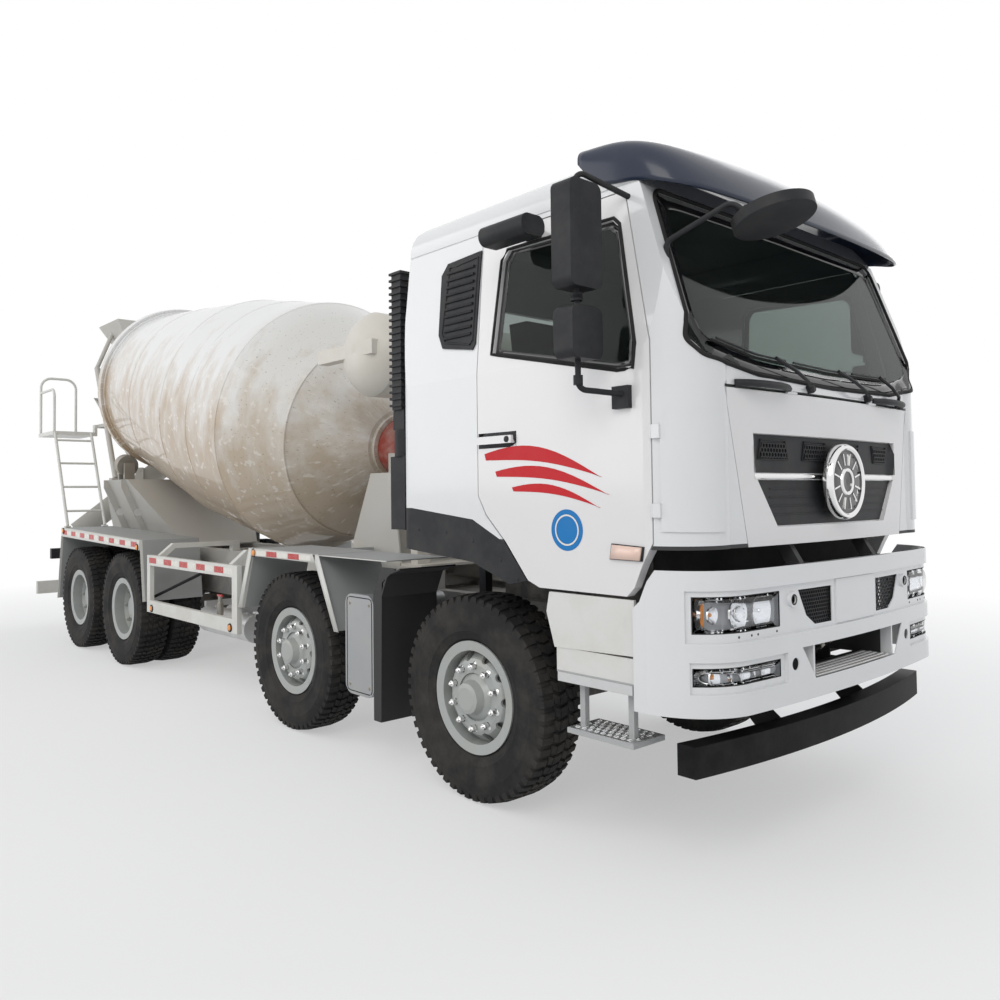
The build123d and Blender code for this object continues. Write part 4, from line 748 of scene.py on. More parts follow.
# %% Windscreen border and seal
shell_skin, glass_skin, flap_skin = surface("cab_shell"), surface("windscreen"), surface("front_flap")


def screen_outline(inset, cut, soft=True):
    """The pane's edge in front view, moved in, its corners cut over a length and rounded when soft."""
    half = [(0, 2.190 + inset), (0.70, 2.205 + inset), (1.08 - inset, 2.262 + inset)]
    half += [(1.150 - inset, 2.330 + inset), (1.095 - inset, 2.990 - inset), (1.050 - inset, 3.035 - inset)]
    half += [(0, 3.045 - inset)]
    made = [half[0]]
    for a, b, c in [[Vector(p) for p in three] for three in zip(half, half[1:], half[2:])]:
        before, after = [b + (p - b).normalized() * min(cut, (p - b).length * 0.5) for p in (a, c)]
        for t in spread(0, 1, 7):
            straight = before.lerp(b, 2 * t) if t < 0.5 else b.lerp(after, 2 * t - 1)
            curve = before * (1 - t) ** 2 + b * 2 * t * (1 - t) + after * t ** 2
            made.append(tuple(curve if soft else straight))
    return both_sides(made + [half[-1]])


mesh = bmesh.new()
edge = [front(y, z) for y, z in screen_outline(0.003, 0.15, soft=False)]
inner = [front(y, z) for y, z in screen_outline(0.062, 0.15)]
add_band(mesh, glass_skin, edge, inner, FRONT, 0.001)
thick(piece("screen_border", mesh, "cab", black_gloss), 0.001)
mesh = bmesh.new()
line = [front(y, z) for y, z in screen_outline(-0.008, 0.03)]
add_bead(mesh, laid(shell_skin, line, 0.04, FRONT, 0.001), 0.010)
piece("screen_seal", mesh, "cab", black_rubber)

# %% [markdown]
# The three wipers are parked low on the pane. Each is an arm over a knee, a bar across its end and a rubber
# lip. A straight blade would sink into the curved glass or stand off it, so every point of the bar and the
# lip is laid on the pane first and then lifted by its own height.

# %% Wipers
mesh, blades = bmesh.new(), bmesh.new()


def on_pane(y, up, lift):
    """A place on the pane, measured up from its lower edge."""
    reach = abs(y)
    sill = 2.190 + 0.021 * reach if reach < 0.70 else 2.205 + (reach - 0.70) * 0.15
    return lay(glass_skin, front(y, sill + up), FRONT, lift)


for pivot, tip, end in ((-0.265, -1.00, -0.56), (0.361, -0.36, 0.06), (0.800, 0.26, 0.56)):
    foot = lay(shell_skin, front(pivot, 2.155), FRONT, 0.012)
    over = on_pane(end, 0.070, 0.045)
    knee = foot.lerp(over, 0.25) + Vector((0.030, 0, 0))
    cap = [(0, -0.03), (0.020, -0.03), (0.020, 0.012), (0.012, 0.022), (0, 0.022)]
    add_turned(mesh, cap, foot, (1, 0, 0), 16)
    add_tube(mesh, [foot, knee, foot.lerp(over, 0.6) + Vector((0.026, 0, 0)), over], 0.009, 6)
    spots = [on_pane(y, 0.078, 0.026) for y in spread(tip, end + 0.12, 9)]
    add_tube(mesh, spots, 0.006, 6)
    lips = [on_pane(y, 0.070, 0.011) for y in spread(tip - 0.02, end + 0.14, 11)]
    add_tube(blades, lips, 0.008, 4)
piece("wiper_arms", mesh, "cab", black_plastic)
piece("wiper_blades", blades, "cab", black_rubber)

# %% [markdown]
# Whoever cleans the pane holds on to two bars below it. Each line is laid on the panel and lifted most in
# the middle, so that both ends run into the paint without a foot of their own.

# %% Grab handles under the pane
mesh = bmesh.new()
for y0, y1 in ((-0.880, -0.450), (0.450, 0.880)):
    line = []
    for i, lift in enumerate((0.0, 0.034, 0.048, 0.050, 0.048, 0.034, 0.0)):
        y = y0 + (y1 - y0) * i / 6
        line.append(lay(shell_skin, front(y, 2.148), FRONT, lift))
    add_tube(mesh, line, 0.017, 8)
piece("screen_handles", mesh, "cab", black_plastic)

# %% [markdown]
# ## Sun visor
# The visor is one moulding that wraps round the roof's front edge. Its form is held by five lines, from the
# lower edge up to the roof, each drawn from the rear end of the side to the middle and mirrored. A
# subdivision surface then runs smoothly through them, as the real moulding does.

# %% The visor's five lines
visor_lines = (  # lower edge, face, shoulder, crown and roof, each as (x, y, z) from the side's rear end
    (
        (0.845, 1.192, 3.232), (0.945, 1.192, 3.108), (1.05, 1.190, 3.080), (1.18, 1.184, 3.072),
        (1.30, 1.150, 3.035), (1.38, 1.080, 3.010), (1.44, 0.940, 2.990), (1.495, 0.700, 2.968),
        (1.53, 0.380, 2.950), (1.55, 0.0, 2.942),
    ),
    (
        (0.845, 1.193, 3.258), (0.945, 1.193, 3.190), (1.05, 1.190, 3.175), (1.17, 1.180, 3.165),
        (1.28, 1.140, 3.130), (1.355, 1.065, 3.100), (1.41, 0.925, 3.078), (1.462, 0.690, 3.056),
        (1.498, 0.375, 3.040), (1.517, 0.0, 3.034),
    ),
    (
        (0.845, 1.185, 3.290), (0.945, 1.183, 3.280), (1.04, 1.176, 3.275), (1.14, 1.160, 3.258),
        (1.235, 1.115, 3.228), (1.30, 1.035, 3.202), (1.35, 0.900, 3.182), (1.40, 0.670, 3.165),
        (1.435, 0.360, 3.153), (1.453, 0.0, 3.148),
    ),
    (
        (0.845, 1.130, 3.322), (0.93, 1.128, 3.322), (1.00, 1.118, 3.320), (1.08, 1.095, 3.312),
        (1.15, 1.045, 3.300), (1.205, 0.965, 3.288), (1.25, 0.840, 3.280), (1.295, 0.625, 3.274),
        (1.325, 0.335, 3.270), (1.34, 0.0, 3.268),
    ),
    (
        (0.845, 0.960, 3.334), (0.88, 0.950, 3.334), (0.91, 0.935, 3.334), (0.94, 0.910, 3.335),
        (0.97, 0.865, 3.336), (1.00, 0.800, 3.337), (1.025, 0.700, 3.338), (1.05, 0.520, 3.339),
        (1.065, 0.280, 3.340), (1.075, 0.0, 3.340),
    ),
)

# %% Visor moulding
mesh = bmesh.new()
rows = []
for line in visor_lines:
    whole = [(x, -y, z) for x, y, z in line] + [(x, y, z) for x, y, z in reversed(line[:-1])]
    rows.append([mesh.verts.new(at(*p)) for p in whole])
rows.append([mesh.verts.new((min(v.co.x, at(0.845, 0, 0).x), v.co.y * 0.98, 3.338)) for v in rows[-1]])
for here, there in zip(rows, rows[1:]):
    for i in range(len(here) - 1):
        mesh.faces.new((here[i], here[i + 1], there[i + 1], there[i]))
visor = piece("visor_moulding", mesh, "cab", visor_plastic, outward=True)
visor.modifiers.clear()
round_over = visor.modifiers.new("smooth", "SUBSURF")
round_over.levels = round_over.render_levels = 2
round_over.boundary_smooth = "PRESERVE_CORNERS"
thick(visor, 0.010)
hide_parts("sun_visor")

# %% [markdown]
# ## Grille
# The flap's opening is lined with black plastic. Four windows of honeycomb show in its upper half. A bright
# bar runs across, and a plain badge with no device on it sits in the middle. The net could be a picture
# with holes, but its bars have a depth that shows from the side, so they are real. Each cell draws three of
# its six edges, and no edge is made twice.

# %% Honeycomb net
def inside(y, z, outline):
    """Whether a place in front view lies in an outline."""
    within = False
    for (y0, z0), (y1, z1) in zip(outline, outline[1:] + outline[:1]):
        if (z0 > z) != (z1 > z) and y < (y1 - y0) * (z - z0) / (z1 - z0) + y0:
            within = not within
    return within


def add_net(mesh, place, outline, pitch, bar):
    """Adds a honeycomb net in an outline: place(y, z) gives each corner's spot on the panel."""
    ys, zs = [p[0] for p in outline], [p[1] for p in outline]
    cell = pitch / sqrt(3)
    rows = int((max(zs) - min(zs)) / (cell * 1.5)) + 2
    columns = int((max(ys) - min(ys)) / pitch) + 2
    for row in range(rows):
        for column in range(columns):
            y = min(ys) + (column + 0.5 * (row % 2)) * pitch
            z = min(zs) + row * cell * 1.5
            for k in range(3):
                turns = (pi / 6 + k * pi / 3, pi / 2 + k * pi / 3)
                ends = [(y + cos(t) * cell, z + sin(t) * cell) for t in turns]
                if all(inside(*e, outline) for e in ends):
                    a, b = [place(*e) for e in ends]
                    add_bar(mesh, a, b, bar)


def add_bar(mesh, a, b, width, out=Vector((1, 0, 0))):
    """Adds a small square bar between two places."""
    along = (b - a).normalized()
    across = along.cross(out).normalized() * width / 2
    deep = across.cross(along).normalized() * width / 2
    corners = [p + s * across + t * deep for p in (a, b) for s, t in ((-1, -1), (1, -1), (1, 1), (-1, 1))]
    v = [mesh.verts.new(c) for c in corners]
    for k in range(4):
        j = (k + 1) % 4
        mesh.faces.new((v[k], v[j], v[4 + j], v[4 + k]))

# %% Grille lining and mesh
grille = both_sides([(0, 1.503), (0.567, 1.503), (0.737, 1.740), (0.750, 1.930), (0, 1.930)])
grille = [p for i, p in enumerate(grille) if p[0] or i in (0, 4)]
upper = [(-0.746, 1.753), (0.746, 1.753), (0.749, 1.928), (-0.749, 1.928)]
lower = [(-0.560, 1.508), (0.560, 1.508), (0.720, 1.719), (-0.720, 1.719)]
mesh = bmesh.new()
for outline in (upper, lower):
    add_patch(mesh, flap_skin, [front(y, z) for y, z in outline], FRONT, 0.003)
piece("grille_lining", mesh, "front_flap", black_plastic)


def on_lining(lift):
    """A place a little in front of the lining."""
    return lambda y, z: lay(flap_skin, front(y, z), FRONT, lift)


mesh, rims = bmesh.new(), bmesh.new()
for y in (-0.565, -0.190, 0.190, 0.565):
    lean = -0.02 if y < 0 else 0.02
    half = 0.100
    window = [(y - half + lean, 1.815), (y + half - lean, 1.815), (y + half, 1.905), (y - half, 1.905)]
    add_net(mesh, on_lining(0.008), window, 0.024, 0.006)
    add_bead(rims, laid(flap_skin, [front(*p) for p in window], 0.03, FRONT, 0.006), 0.004, 6)
for z in (1.560, 1.600, 1.640, 1.680):
    line = [on_lining(0.005)(0.60 * k / 8, z) for k in range(-8, 9)]
    add_tube(rims, line, 0.003, 4)
piece("grille_mesh", mesh, "front_flap", black_plastic, smooth=False)
piece("grille_ribs", rims, "front_flap", black_plastic)
mesh = bmesh.new()
bar = [front(y, z) for y, z in ((-0.742, 1.724), (0.742, 1.724), (0.743, 1.748), (-0.743, 1.748))]
add_patch(mesh, flap_skin, bar, FRONT, 0.003)
thick(piece("grille_bar", mesh, "front_flap", chrome), 0.003)

# %% [markdown]
# The badge is generic: two bright rings and twelve short bars on a dark disc, with no device or letter on
# it. Rings and disc are turned about one axis, and one bar is repeated round it.

# %% Badge
mesh, plate = bmesh.new(), bmesh.new()
spot = at(1.498, 0, 1.712)
ring = [(0.158, 0.010), (0.158, 0.046), (0.166, 0.054), (0.180, 0.052), (0.188, 0.040), (0.188, 0.010)]
add_turned(mesh, ring, spot, (1, 0, 0), 64, closed=True)
small = [(0.050, 0.040), (0.050, 0.046), (0.055, 0.050), (0.066, 0.048), (0.070, 0.040)]
add_turned(mesh, small, spot, (1, 0, 0), 48, closed=True)
for k in range(12):
    turn = tau * (k + 0.5) / 12
    out = Vector((0, cos(turn), sin(turn)))
    root = spot + Vector((0.041, 0, 0))
    add_bar(mesh, root + out * 0.082, root + out * 0.142, 0.008)
disc = [(0, 0.036), (0.060, 0.042), (0.120, 0.040), (0.158, 0.034), (0.158, 0.0), (0, 0.0)]
add_turned(plate, disc, spot, (1, 0, 0), 64)
piece("badge_ring", mesh, "front_flap", chrome, outward=True)
piece("badge_plate", plate, "front_flap", black_gloss, outward=True)

# %% [markdown]
# ## Bumper
# Two bands are sunk in the moulding. They hold the lamps, black mesh windows beside the blank plate and the
# step slot, whose tread is a bright pressed sheet with rows of small holes. Each hole is a turned lip with
# a dark disc in it, painted shade of the space under the tread, which costs far less than cutting hundreds
# of holes through.

# %% Bumper mesh and tread
bumper_skin = surface("bumper")


def band_face(depth):
    """A place behind the upper band's face, at a depth, under the point where the band is whole."""
    return lambda y, z: lay(bumper_skin, front(y, 1.238), FRONT) + Vector((-depth, 0, z - 1.238))


mesh = bmesh.new()
for s in (-1, 1):
    window = [(0.570, 1.228), (0.205, 1.228), (0.205, 1.040), (0.415, 1.040), (0.500, 1.090)]
    window = [(s * y, z) for y, z in window]
    add_net(mesh, band_face(0.014), window, 0.020, 0.0042)
piece("bumper_mesh", mesh, "root", black_plastic, smooth=False)
mesh, hole_shade_discs = bmesh.new(), bmesh.new()
for row in range(5):
    x = 0.022 + row * 0.030
    for k in range(-17, 18):
        y = (k + 0.5 * (row % 2)) * 0.0225
        edge = lay(bumper_skin, front(y, 0.80), FRONT)
        spot = Vector((edge.x - x, y, 0.8105))
        lip = [(0.0042, 0.0), (0.0050, 0.003), (0.0072, 0.003), (0.0085, 0.0)]
        add_turned(mesh, lip, spot, (0, 0, 1), 10)
        # Painted shade: a dark disc in each hole stands in for the shaded space under the tread.
        add_turned(hole_shade_discs, [(0.0, 0.0012), (0.0046, 0.0012)], spot, (0, 0, 1), 8)
tread = [(lay(bumper_skin, front(y, 0.80), FRONT).x, y) for y in spread(-0.41, 0.41, 15)]
rows = [[mesh.verts.new((x + back, y, 0.8105)) for x, y in tread] for back in (-0.004, -0.165)]
for i in range(14):
    mesh.faces.new((rows[0][i], rows[1][i], rows[1][i + 1], rows[0][i + 1]))
piece("step_tread", mesh, "root", aluminium, outward=True)
piece("step_hole_shade_discs", hole_shade_discs, "root", black_rubber, outward=True)

# %% [markdown]
# ## Lamps
# A lamp is a bright tray with bowls in it, behind a clear lens that carries on the curve of the band. The
# bowls are turned parabolas, so that they gather the light of the scene as real reflectors do. The outer
# strip of the headlamp is amber, and so is the bulb in the outer fog lamp.

# %% Trays and bowls
lamp_skin = surface("lamps")


def add_tray(mesh, rim, depth):
    """Adds an open tray behind a closed line."""
    rows = [[mesh.verts.new(p + Vector((-d, 0, 0))) for p in rim] for d in (0.0, depth)]
    count = len(rim)
    for i in range(count):
        j = (i + 1) % count
        mesh.faces.new((rows[0][i], rows[0][j], rows[1][j], rows[1][i]))
    mesh.faces.new(rows[1])


def add_bowl(mesh, y, z, radius, depth, back, rim=0.004):
    """Adds a reflector that opens to the front, its rim a distance behind the lens."""
    spot = lay(lamp_skin, front(y, z), FRONT) - Vector((back, 0, 0))
    curve = [(radius * sqrt(t), -depth * (1 - t)) for t in (0.02, 0.08, 0.2, 0.35, 0.55, 0.78, 1.0)]
    add_turned(mesh, curve + [(radius + rim, 0.002), (radius + rim, -0.006)], spot, (1, 0, 0), 32)
    return spot

# %% Lamps on both sides
trays, bowls, bulbs, lenses, strips, frames = [bmesh.new() for _ in range(6)]
for s in (-1, 1):
    for z0, z1 in ((1.070, 1.223), (0.850, 0.924)):
        corners = [(s * 0.693, z0), (s * 1.162, z0), (s * 1.162, z1), (s * 0.693, z1)]
        rim = laid(lamp_skin, [front(*c) for c in corners], 0.05, FRONT, -0.002)
        add_tray(trays, [p - Vector((0.004, 0, 0)) for p in rim], 0.050)
        add_bead(frames, rim, 0.0028, 6)
        add_patch(lenses, lamp_skin, [front(*c) for c in corners], FRONT, -0.0035)
    for y, radius, depth in ((0.975, 0.064, 0.040), (0.812, 0.073, 0.042), (1.092, 0.034, 0.024)):
        spot = add_bowl(bowls, s * y, 1.147, radius, depth, 0.012)
        tip = [(0.0, -depth + 0.004), (0.009, -depth + 0.006), (0.009, -0.012)]
        tip += [(0.005, -0.006), (0.0, -0.005)]
        add_turned(bulbs if y > 1.05 else bowls, tip, spot, (1, 0, 0), 12)
    add_bowl(bowls, s * 0.975, 1.147, 0.030, 0.012, 0.008)
    for y in (1.090, 0.945, 0.795):
        spot = add_bowl(bowls, s * y, 0.887, 0.0345, 0.028, 0.010)
        tip = [(0.0, -0.024), (0.008, -0.022), (0.008, -0.008), (0.0, -0.004)]
        add_turned(bulbs if y > 1.0 else bowls, tip, spot, (1, 0, 0), 12)
    for y in (0.868, 1.018):
        top, foot = [lay(lamp_skin, front(s * y, z), FRONT) for z in (0.922, 0.852)]
        add_bar(bowls, top - Vector((0.02, 0, 0)), foot - Vector((0.02, 0, 0)), 0.014)
    strip = [front(s * y, z) for y, z in ((1.128, 1.074), (1.160, 1.074), (1.160, 1.219), (1.128, 1.219))]
    add_patch(strips, lamp_skin, strip, FRONT, -0.009)
    for k in range(9):
        z = 1.080 + k * 0.0165
        a, b = [lay(lamp_skin, front(s * y, z), FRONT, -0.012) for y in (0.885, 0.925)]
        add_bar(bowls, a - Vector((0.01, 0, 0)), b - Vector((0.01, 0, 0)), 0.003)
made = piece("lamp_trays", trays, "root", lamp_silver, outward=True)
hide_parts("lamps")
piece("lamp_bowls", bowls, "root", chrome, outward=True)
piece("lamp_bulbs", bulbs, "root", amber, outward=True)
piece("lamp_strips", strips, "root", amber)
piece("lamp_frames", frames, "root", black_rubber)
thick(piece("lamp_lenses", lenses, "root", lens_clear), 0.003)

# %% [markdown]
# Four screws hold each lamp's trim. Behind the step slot hangs a bundle of air and water hoses, which fills
# what would be an empty hole. Each hose is a tube through nine points that sag along a sine, a little
# different for each.

# %% Screws under the headlamps, and the hoses behind the step slot
mesh, hoses, unions = bmesh.new(), bmesh.new(), bmesh.new()
for s in (-1, 1):
    for y in (0.715, 0.855, 0.900, 0.985):
        spot = lay(bumper_skin, front(s * y, 1.050), FRONT, 0.0)
        add_turned(mesh, [(0.0, 0.002), (0.005, 0.001), (0.006, -0.001)], spot, (1, 0, 0), 10)
for k in range(6):
    y = -0.36 + k * 0.12
    line = []
    for t in spread(-1, 1, 9):
        rise = 0.855 + 0.018 * k + 0.02 * sin(t * 7)
        line.append(at(1.425 - 0.05 * abs(t), y + 0.16 * t + 0.03 * sin(t * 4 + k), rise))
    add_tube(hoses, line, 0.009, 8)
    union = [(0, 0), (0.014, 0), (0.014, 0.03), (0.010, 0.036), (0, 0.036)]
    add_turned(unions, union, line[4], (0, 1, 0.3), 6)
piece("bumper_screws", mesh, "root", black_rubber)
piece("front_hoses", hoses, "root", black_rubber)
piece("hose_unions", unions, "root", roller_steel, smooth=False)

# %% [markdown]
# The tow sockets are deep round holes with a rolled rim. A rubber sheet behind the bumper guides the air
# to the radiator, and a tray below it keeps spray off. Both are plain sheets that nobody sees whole, so
# boxes serve.

# %% Tow socket linings, air guide and splash tray
mesh, rims = bmesh.new(), bmesh.new()
for s in (-1, 1):
    mouth = at(1.562, s * 0.600, 1.180)
    add_turned(mesh, [(0.0174, -0.006), (0.0174, -0.074), (0.0, -0.074)], mouth, (1, 0, 0), 24)
    add_turned(rims, [(0.0185, 0.001), (0.024, 0.002), (0.025, 0.0)], mouth, (1, 0, 0), 24)
piece("tow_linings", mesh, "root", black_rubber)
piece("tow_rims", rims, "root", black_rubber)
mesh = bmesh.new()
add_box(mesh, at(1.140, -1.06, 0.74), at(1.146, 1.06, 1.41))
add_box(mesh, at(1.140, -0.52, 0.735), at(1.420, 0.52, 0.741))
piece("air_guides", mesh, "root", black_rubber)

# %% [markdown]
# ## Doors and cab sides
# Each door window has a rubber bead round it and a printed black edge on the pane. The side lamp, the
# handle and the coloured decals are laid straight on the door's skin. The decals are three plain swooshes
# and a plain disc.

# %% Door windows
SIDES = (("right", -1, RIGHT), ("left", 1, LEFT))
pane_edge = [(0.285, 2.400), (1.085, 2.225), (1.170, 2.225), (1.180, 2.330)]
pane_edge += [(1.075, 2.880), (1.040, 2.915), (0.370, 2.930), (0.330, 2.880)]


def drawn_in(outline, amount):
    """An outline moved towards its middle by an amount."""
    centre = [sum(p[k] for p in outline) / len(outline) for k in (0, 1)]
    made = []
    for x, z in outline:
        away = (Vector((x, z)) - Vector(centre)).normalized() * amount
        made.append((x - away.x, z - away.y))
    return made


for name, s, way in SIDES:
    door_skin, pane_skin = surface(f"door_{name}"), surface(f"door_glass_{name}")
    mesh = bmesh.new()
    line = [beside(x, z, s) for x, z in drawn_in(pane_edge, -0.012)]
    add_bead(mesh, laid(door_skin, line, 0.05, way), 0.009)
    piece(f"door_seal_{name}", mesh, f"door_{name}", black_rubber)
    mesh = bmesh.new()
    outer = [beside(x, z, s) for x, z in drawn_in(pane_edge, 0.002)]
    add_band(mesh, pane_skin, outer, [beside(x, z, s) for x, z in drawn_in(pane_edge, 0.040)], way, 0.001)
    thick(piece(f"door_pane_edge_{name}", mesh, f"door_{name}", black_gloss), 0.001)
    mesh = bmesh.new()
    plate = [beside(x, z, s) for x, z in ((0.175, 1.905), (0.455, 1.905), (0.455, 1.985), (0.175, 1.985))]
    add_patch(mesh, door_skin, plate, way, 0.0)
    spot = lay(door_skin, beside(0.41, 1.945, s), way, 0.0)
    add_turned(mesh, [(0.016, 0.0), (0.016, 0.004), (0.012, 0.006), (0.0, 0.006)], spot, -way, 20)
    piece(f"door_handle_{name}", mesh, f"door_{name}", black_plastic)

# %% [markdown]
# A side marker is made of three layers: a black body, two amber patches and a pale cover. All three are
# laid on the door, each with its own lift and thickness, so that the lamp follows the skin.

# %% Side marker lamps
for name, s, way in SIDES:
    door_skin = surface(f"door_{name}")
    edge = [(1.036, 1.370), (1.214, 1.368), (1.224, 1.432), (1.048, 1.441)]
    bodies, covers, glows = bmesh.new(), bmesh.new(), bmesh.new()
    add_patch(bodies, door_skin, [beside(x, z, s) for x, z in edge], way, 0.006)
    add_patch(covers, door_skin, [beside(x, z, s) for x, z in drawn_in(edge, 0.010)], way, 0.016)
    for x0, x1 in ((1.062, 1.110), (1.170, 1.200)):
        spots = [beside(x, z, s) for x, z in ((x0, 1.385), (x1, 1.385), (x1, 1.425), (x0, 1.425))]
        add_patch(glows, door_skin, spots, way, 0.011)
    thick(piece(f"marker_body_{name}", bodies, f"door_{name}", black_plastic), 0.006)
    thick(piece(f"marker_cover_{name}", covers, f"door_{name}", lens_peach), 0.010)
    thick(piece(f"marker_glow_{name}", glows, f"door_{name}", amber), 0.003)

# %% [markdown]
# Decals are thin film. Each swoosh is one closed form whose width follows a sine, cut in strips so that it
# can bend with the skin. The disc gets a pale ring on top, a hair higher.

# %% Decals
for name, s, way in SIDES:
    door_skin = surface(f"door_{name}")
    mesh, disc, stripe = bmesh.new(), bmesh.new(), bmesh.new()
    for (xa, za), (xb, zb), rise, wide in (
        ((0.22, 1.86), (0.99, 1.74), 0.060, 0.075),
        ((0.30, 1.77), (1.03, 1.66), 0.050, 0.060),
        ((0.42, 1.69), (0.98, 1.60), 0.040, 0.045),
    ):
        upper, under = [], []
        for t in spread(0, 1, 15):
            x, z = xa + (xb - xa) * t, za + (zb - za) * t + rise * sin(pi * t)
            half = wide * sin(pi * min(1.0, t * 0.85 + 0.15)) * 0.5
            upper.append((x, z + half))
            under.append((x + 0.01, z - half))
        for k in range(14):
            quad = (upper[k], upper[k + 1], under[k + 1], under[k])
            mesh.faces.new([mesh.verts.new(lay(door_skin, beside(x, z, s), way, 0.0012)) for x, z in quad])
    bmesh.ops.remove_doubles(mesh, verts=mesh.verts, dist=1e-5)
    turns = [tau * k / 40 for k in range(40)]
    edge, ring, hole = [
        [beside(0.782 + cos(t) * radius, 1.494 + sin(t) * radius, s) for t in turns]
        for radius in (0.098, 0.074, 0.066)
    ]
    add_patch(disc, door_skin, edge, way, 0.0012)
    add_band(stripe, door_skin, ring, hole, way, 0.0020)
    piece(f"decal_red_{name}", mesh, f"door_{name}", decal_red, smooth=False)
    piece(f"decal_blue_{name}", disc, f"door_{name}", decal_blue)
    piece(f"decal_ring_{name}", stripe, f"door_{name}", tape_white)

# %% [markdown]
# ## Steps, mirrors and small cab parts
# The treads are pressed aluminium with raised oval openings. Mirror glass faces to the rear in each head.
# The openings could be cut through. A turned lip squeezed to an oval, with a dark disc in it as painted
# shade of the space below the tread, looks the same and keeps the mesh light.

# %% Step treads
for level, z, x0, x1, y0 in (("upper", 0.822, 0.722, 1.143, 1.008), ("lower", 0.572, 0.776, 1.144, 1.016)):
    sheet, slot_shade_discs = bmesh.new(), bmesh.new()
    for s in (-1, 1):
        add_box(sheet, at(x0, s * y0, z - 0.001), at(x1, s * 1.236, z + 0.0015))
        if level == "upper":
            add_box(sheet, at(0.716, s * 1.2405, 0.781), at(1.149, s * 1.2385, 0.8235))
        for row in range(5):
            for k in range(9):
                x = x0 + 0.035 + k * (x1 - x0 - 0.07) / 8 + (0.012 if row % 2 else -0.004)
                spot = at(x, s * (y0 + 0.030 + row * 0.040), z + 0.0015)
                # Painted shade: a dark disc in each opening stands in for the shaded space below the tread.
                hole, lip = [(0.0, 0.0006), (0.010, 0.0006)], [(0.009, 0), (0.011, 0.003), (0.014, 0)]
                for part, ring in ((slot_shade_discs, hole), (sheet, lip)):
                    start = len(part.verts)
                    add_turned(part, ring, spot, (0, 0, 1), 12)
                    part.verts.ensure_lookup_table()
                    for vert in part.verts[start:]:
                        vert.co.x = spot.x + (vert.co.x - spot.x) * 1.35
                        vert.co.y = spot.y + (vert.co.y - spot.y) * 0.80
    piece(f"step_sheet_{level}", sheet, "root", aluminium, smooth=False, outward=True)
    piece(f"step_slot_shade_discs_{level}", slot_shade_discs, "root", black_rubber, outward=True)

# %% [markdown]
# The glass of the two mirrors on each side faces back along the truck, so a thin box on the rear of each
# head is enough. Turned knuckles hold the heads to their upright bar.

# %% Mirror glass and knuckles
for name, s, way in SIDES:
    mesh, knobs = bmesh.new(), bmesh.new()
    for y0, y1, z0, z1 in ((1.350, 1.520, 2.585, 3.005), (1.352, 1.518, 2.270, 2.460)):
        add_box(mesh, at(0.9835, s * y0, z0), at(0.9875, s * y1, z1))
    long_knobs, flat_knobs = (0.021, 0.021, (2.62, 2.97, 2.29, 2.44, 2.16)), (0.012, 0.026, (2.53, 2.52))
    for half_long, radius, heights in (long_knobs, flat_knobs):
        knob = [(0, -half_long), (radius, -half_long), (radius, half_long), (0, half_long)]
        for z in heights:
            add_turned(knobs, knob, at(1.040, s * 1.440, z), (0, 0, 1), 16)
    piece(f"mirror_glass_{name}", mesh, f"door_{name}", mirror_glass, bevel=0.002)
    piece(f"mirror_knobs_{name}", knobs, f"door_{name}", black_plastic, outward=True)

# %% [markdown]
# Used air leaves the cab through ten slats behind each door, in a moulded frame. The slats are bars laid on
# the trim, and screws with flat heads hold the lining of the arch below.

# %% Louvres in the rear quarters, and arch screws
quarter = [(-0.140, 2.560), (-0.105, 2.500), (0.115, 2.460), (0.135, 2.480), (0.148, 2.955), (-0.095, 2.940)]
for name, s, way in SIDES:
    mesh, screws = bmesh.new(), bmesh.new()
    trim_skin = surface("cab_trim")
    for z in spread(2.53, 2.90, 10):
        ends = [beside(x, z, s) for x in (-0.105, 0.118)]
        line = [lay(trim_skin, p, way, 0.004) for p in trace(ends, 0.06)]
        add_tube(mesh, line, 0.008, 6)
    line = [beside(x, z, s) for x, z in drawn_in(quarter, 0.012)]
    add_bead(mesh, laid(trim_skin, line, 0.06, way), 0.006, 6)
    for x, z in ((-0.34, 1.47), (-0.10, 1.46), (0.12, 1.42), (0.33, 1.33), (0.45, 1.24)):
        spot = lay(trim_skin, beside(x, z, s), way)
        add_turned(screws, [(0.0, 0.004), (0.008, 0.003), (0.011, 0.0)], spot, -way, 10)
    piece(f"quarter_louvres_{name}", mesh, "cab", black_plastic)
    piece(f"arch_screws_{name}", screws, "cab", black_plastic)

# %% [markdown]
# Each steered hub ends in a domed grease cap in a ring of eight bolts. The cap is one turned profile,
# placed from the wheel's own box, and one bolt is repeated about it.

# %% Hub caps and hub bolts
for number, x in enumerate(axle_x[:2], start=1):
    for name, s, way in SIDES:
        low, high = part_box(f"wheel_{number}_{name}")
        mesh = bmesh.new()
        spot = Vector((x, (low if s < 0 else high)[1] - s * 0.028, tyre_radius))
        cap = [(0.0, 0.0275), (0.020, 0.0270), (0.036, 0.022), (0.044, 0.012), (0.046, 0.0)]
        add_turned(mesh, cap, spot, (0, s, 0), 32)
        for k in range(8):
            turn = tau * k / 8
            place = spot + Vector((cos(turn) * 0.064, -s * 0.004, sin(turn) * 0.064))
            add_turned(mesh, [(0.0, 0.014), (0.008, 0.013), (0.010, 0.0)], place, (0, s, 0), 6)
        piece(f"hub_cap_{number}_{name}", mesh, f"wheel_{number}_{name}", cast_dark, outward=True)

# %% [markdown]
# The grey cover is a pressed lid with a bolt near each corner and a rubber seam. The seam's corners are
# softened by moving each point to the weighted mean of itself and its neighbours, which is quicker than
# drawing four arcs.

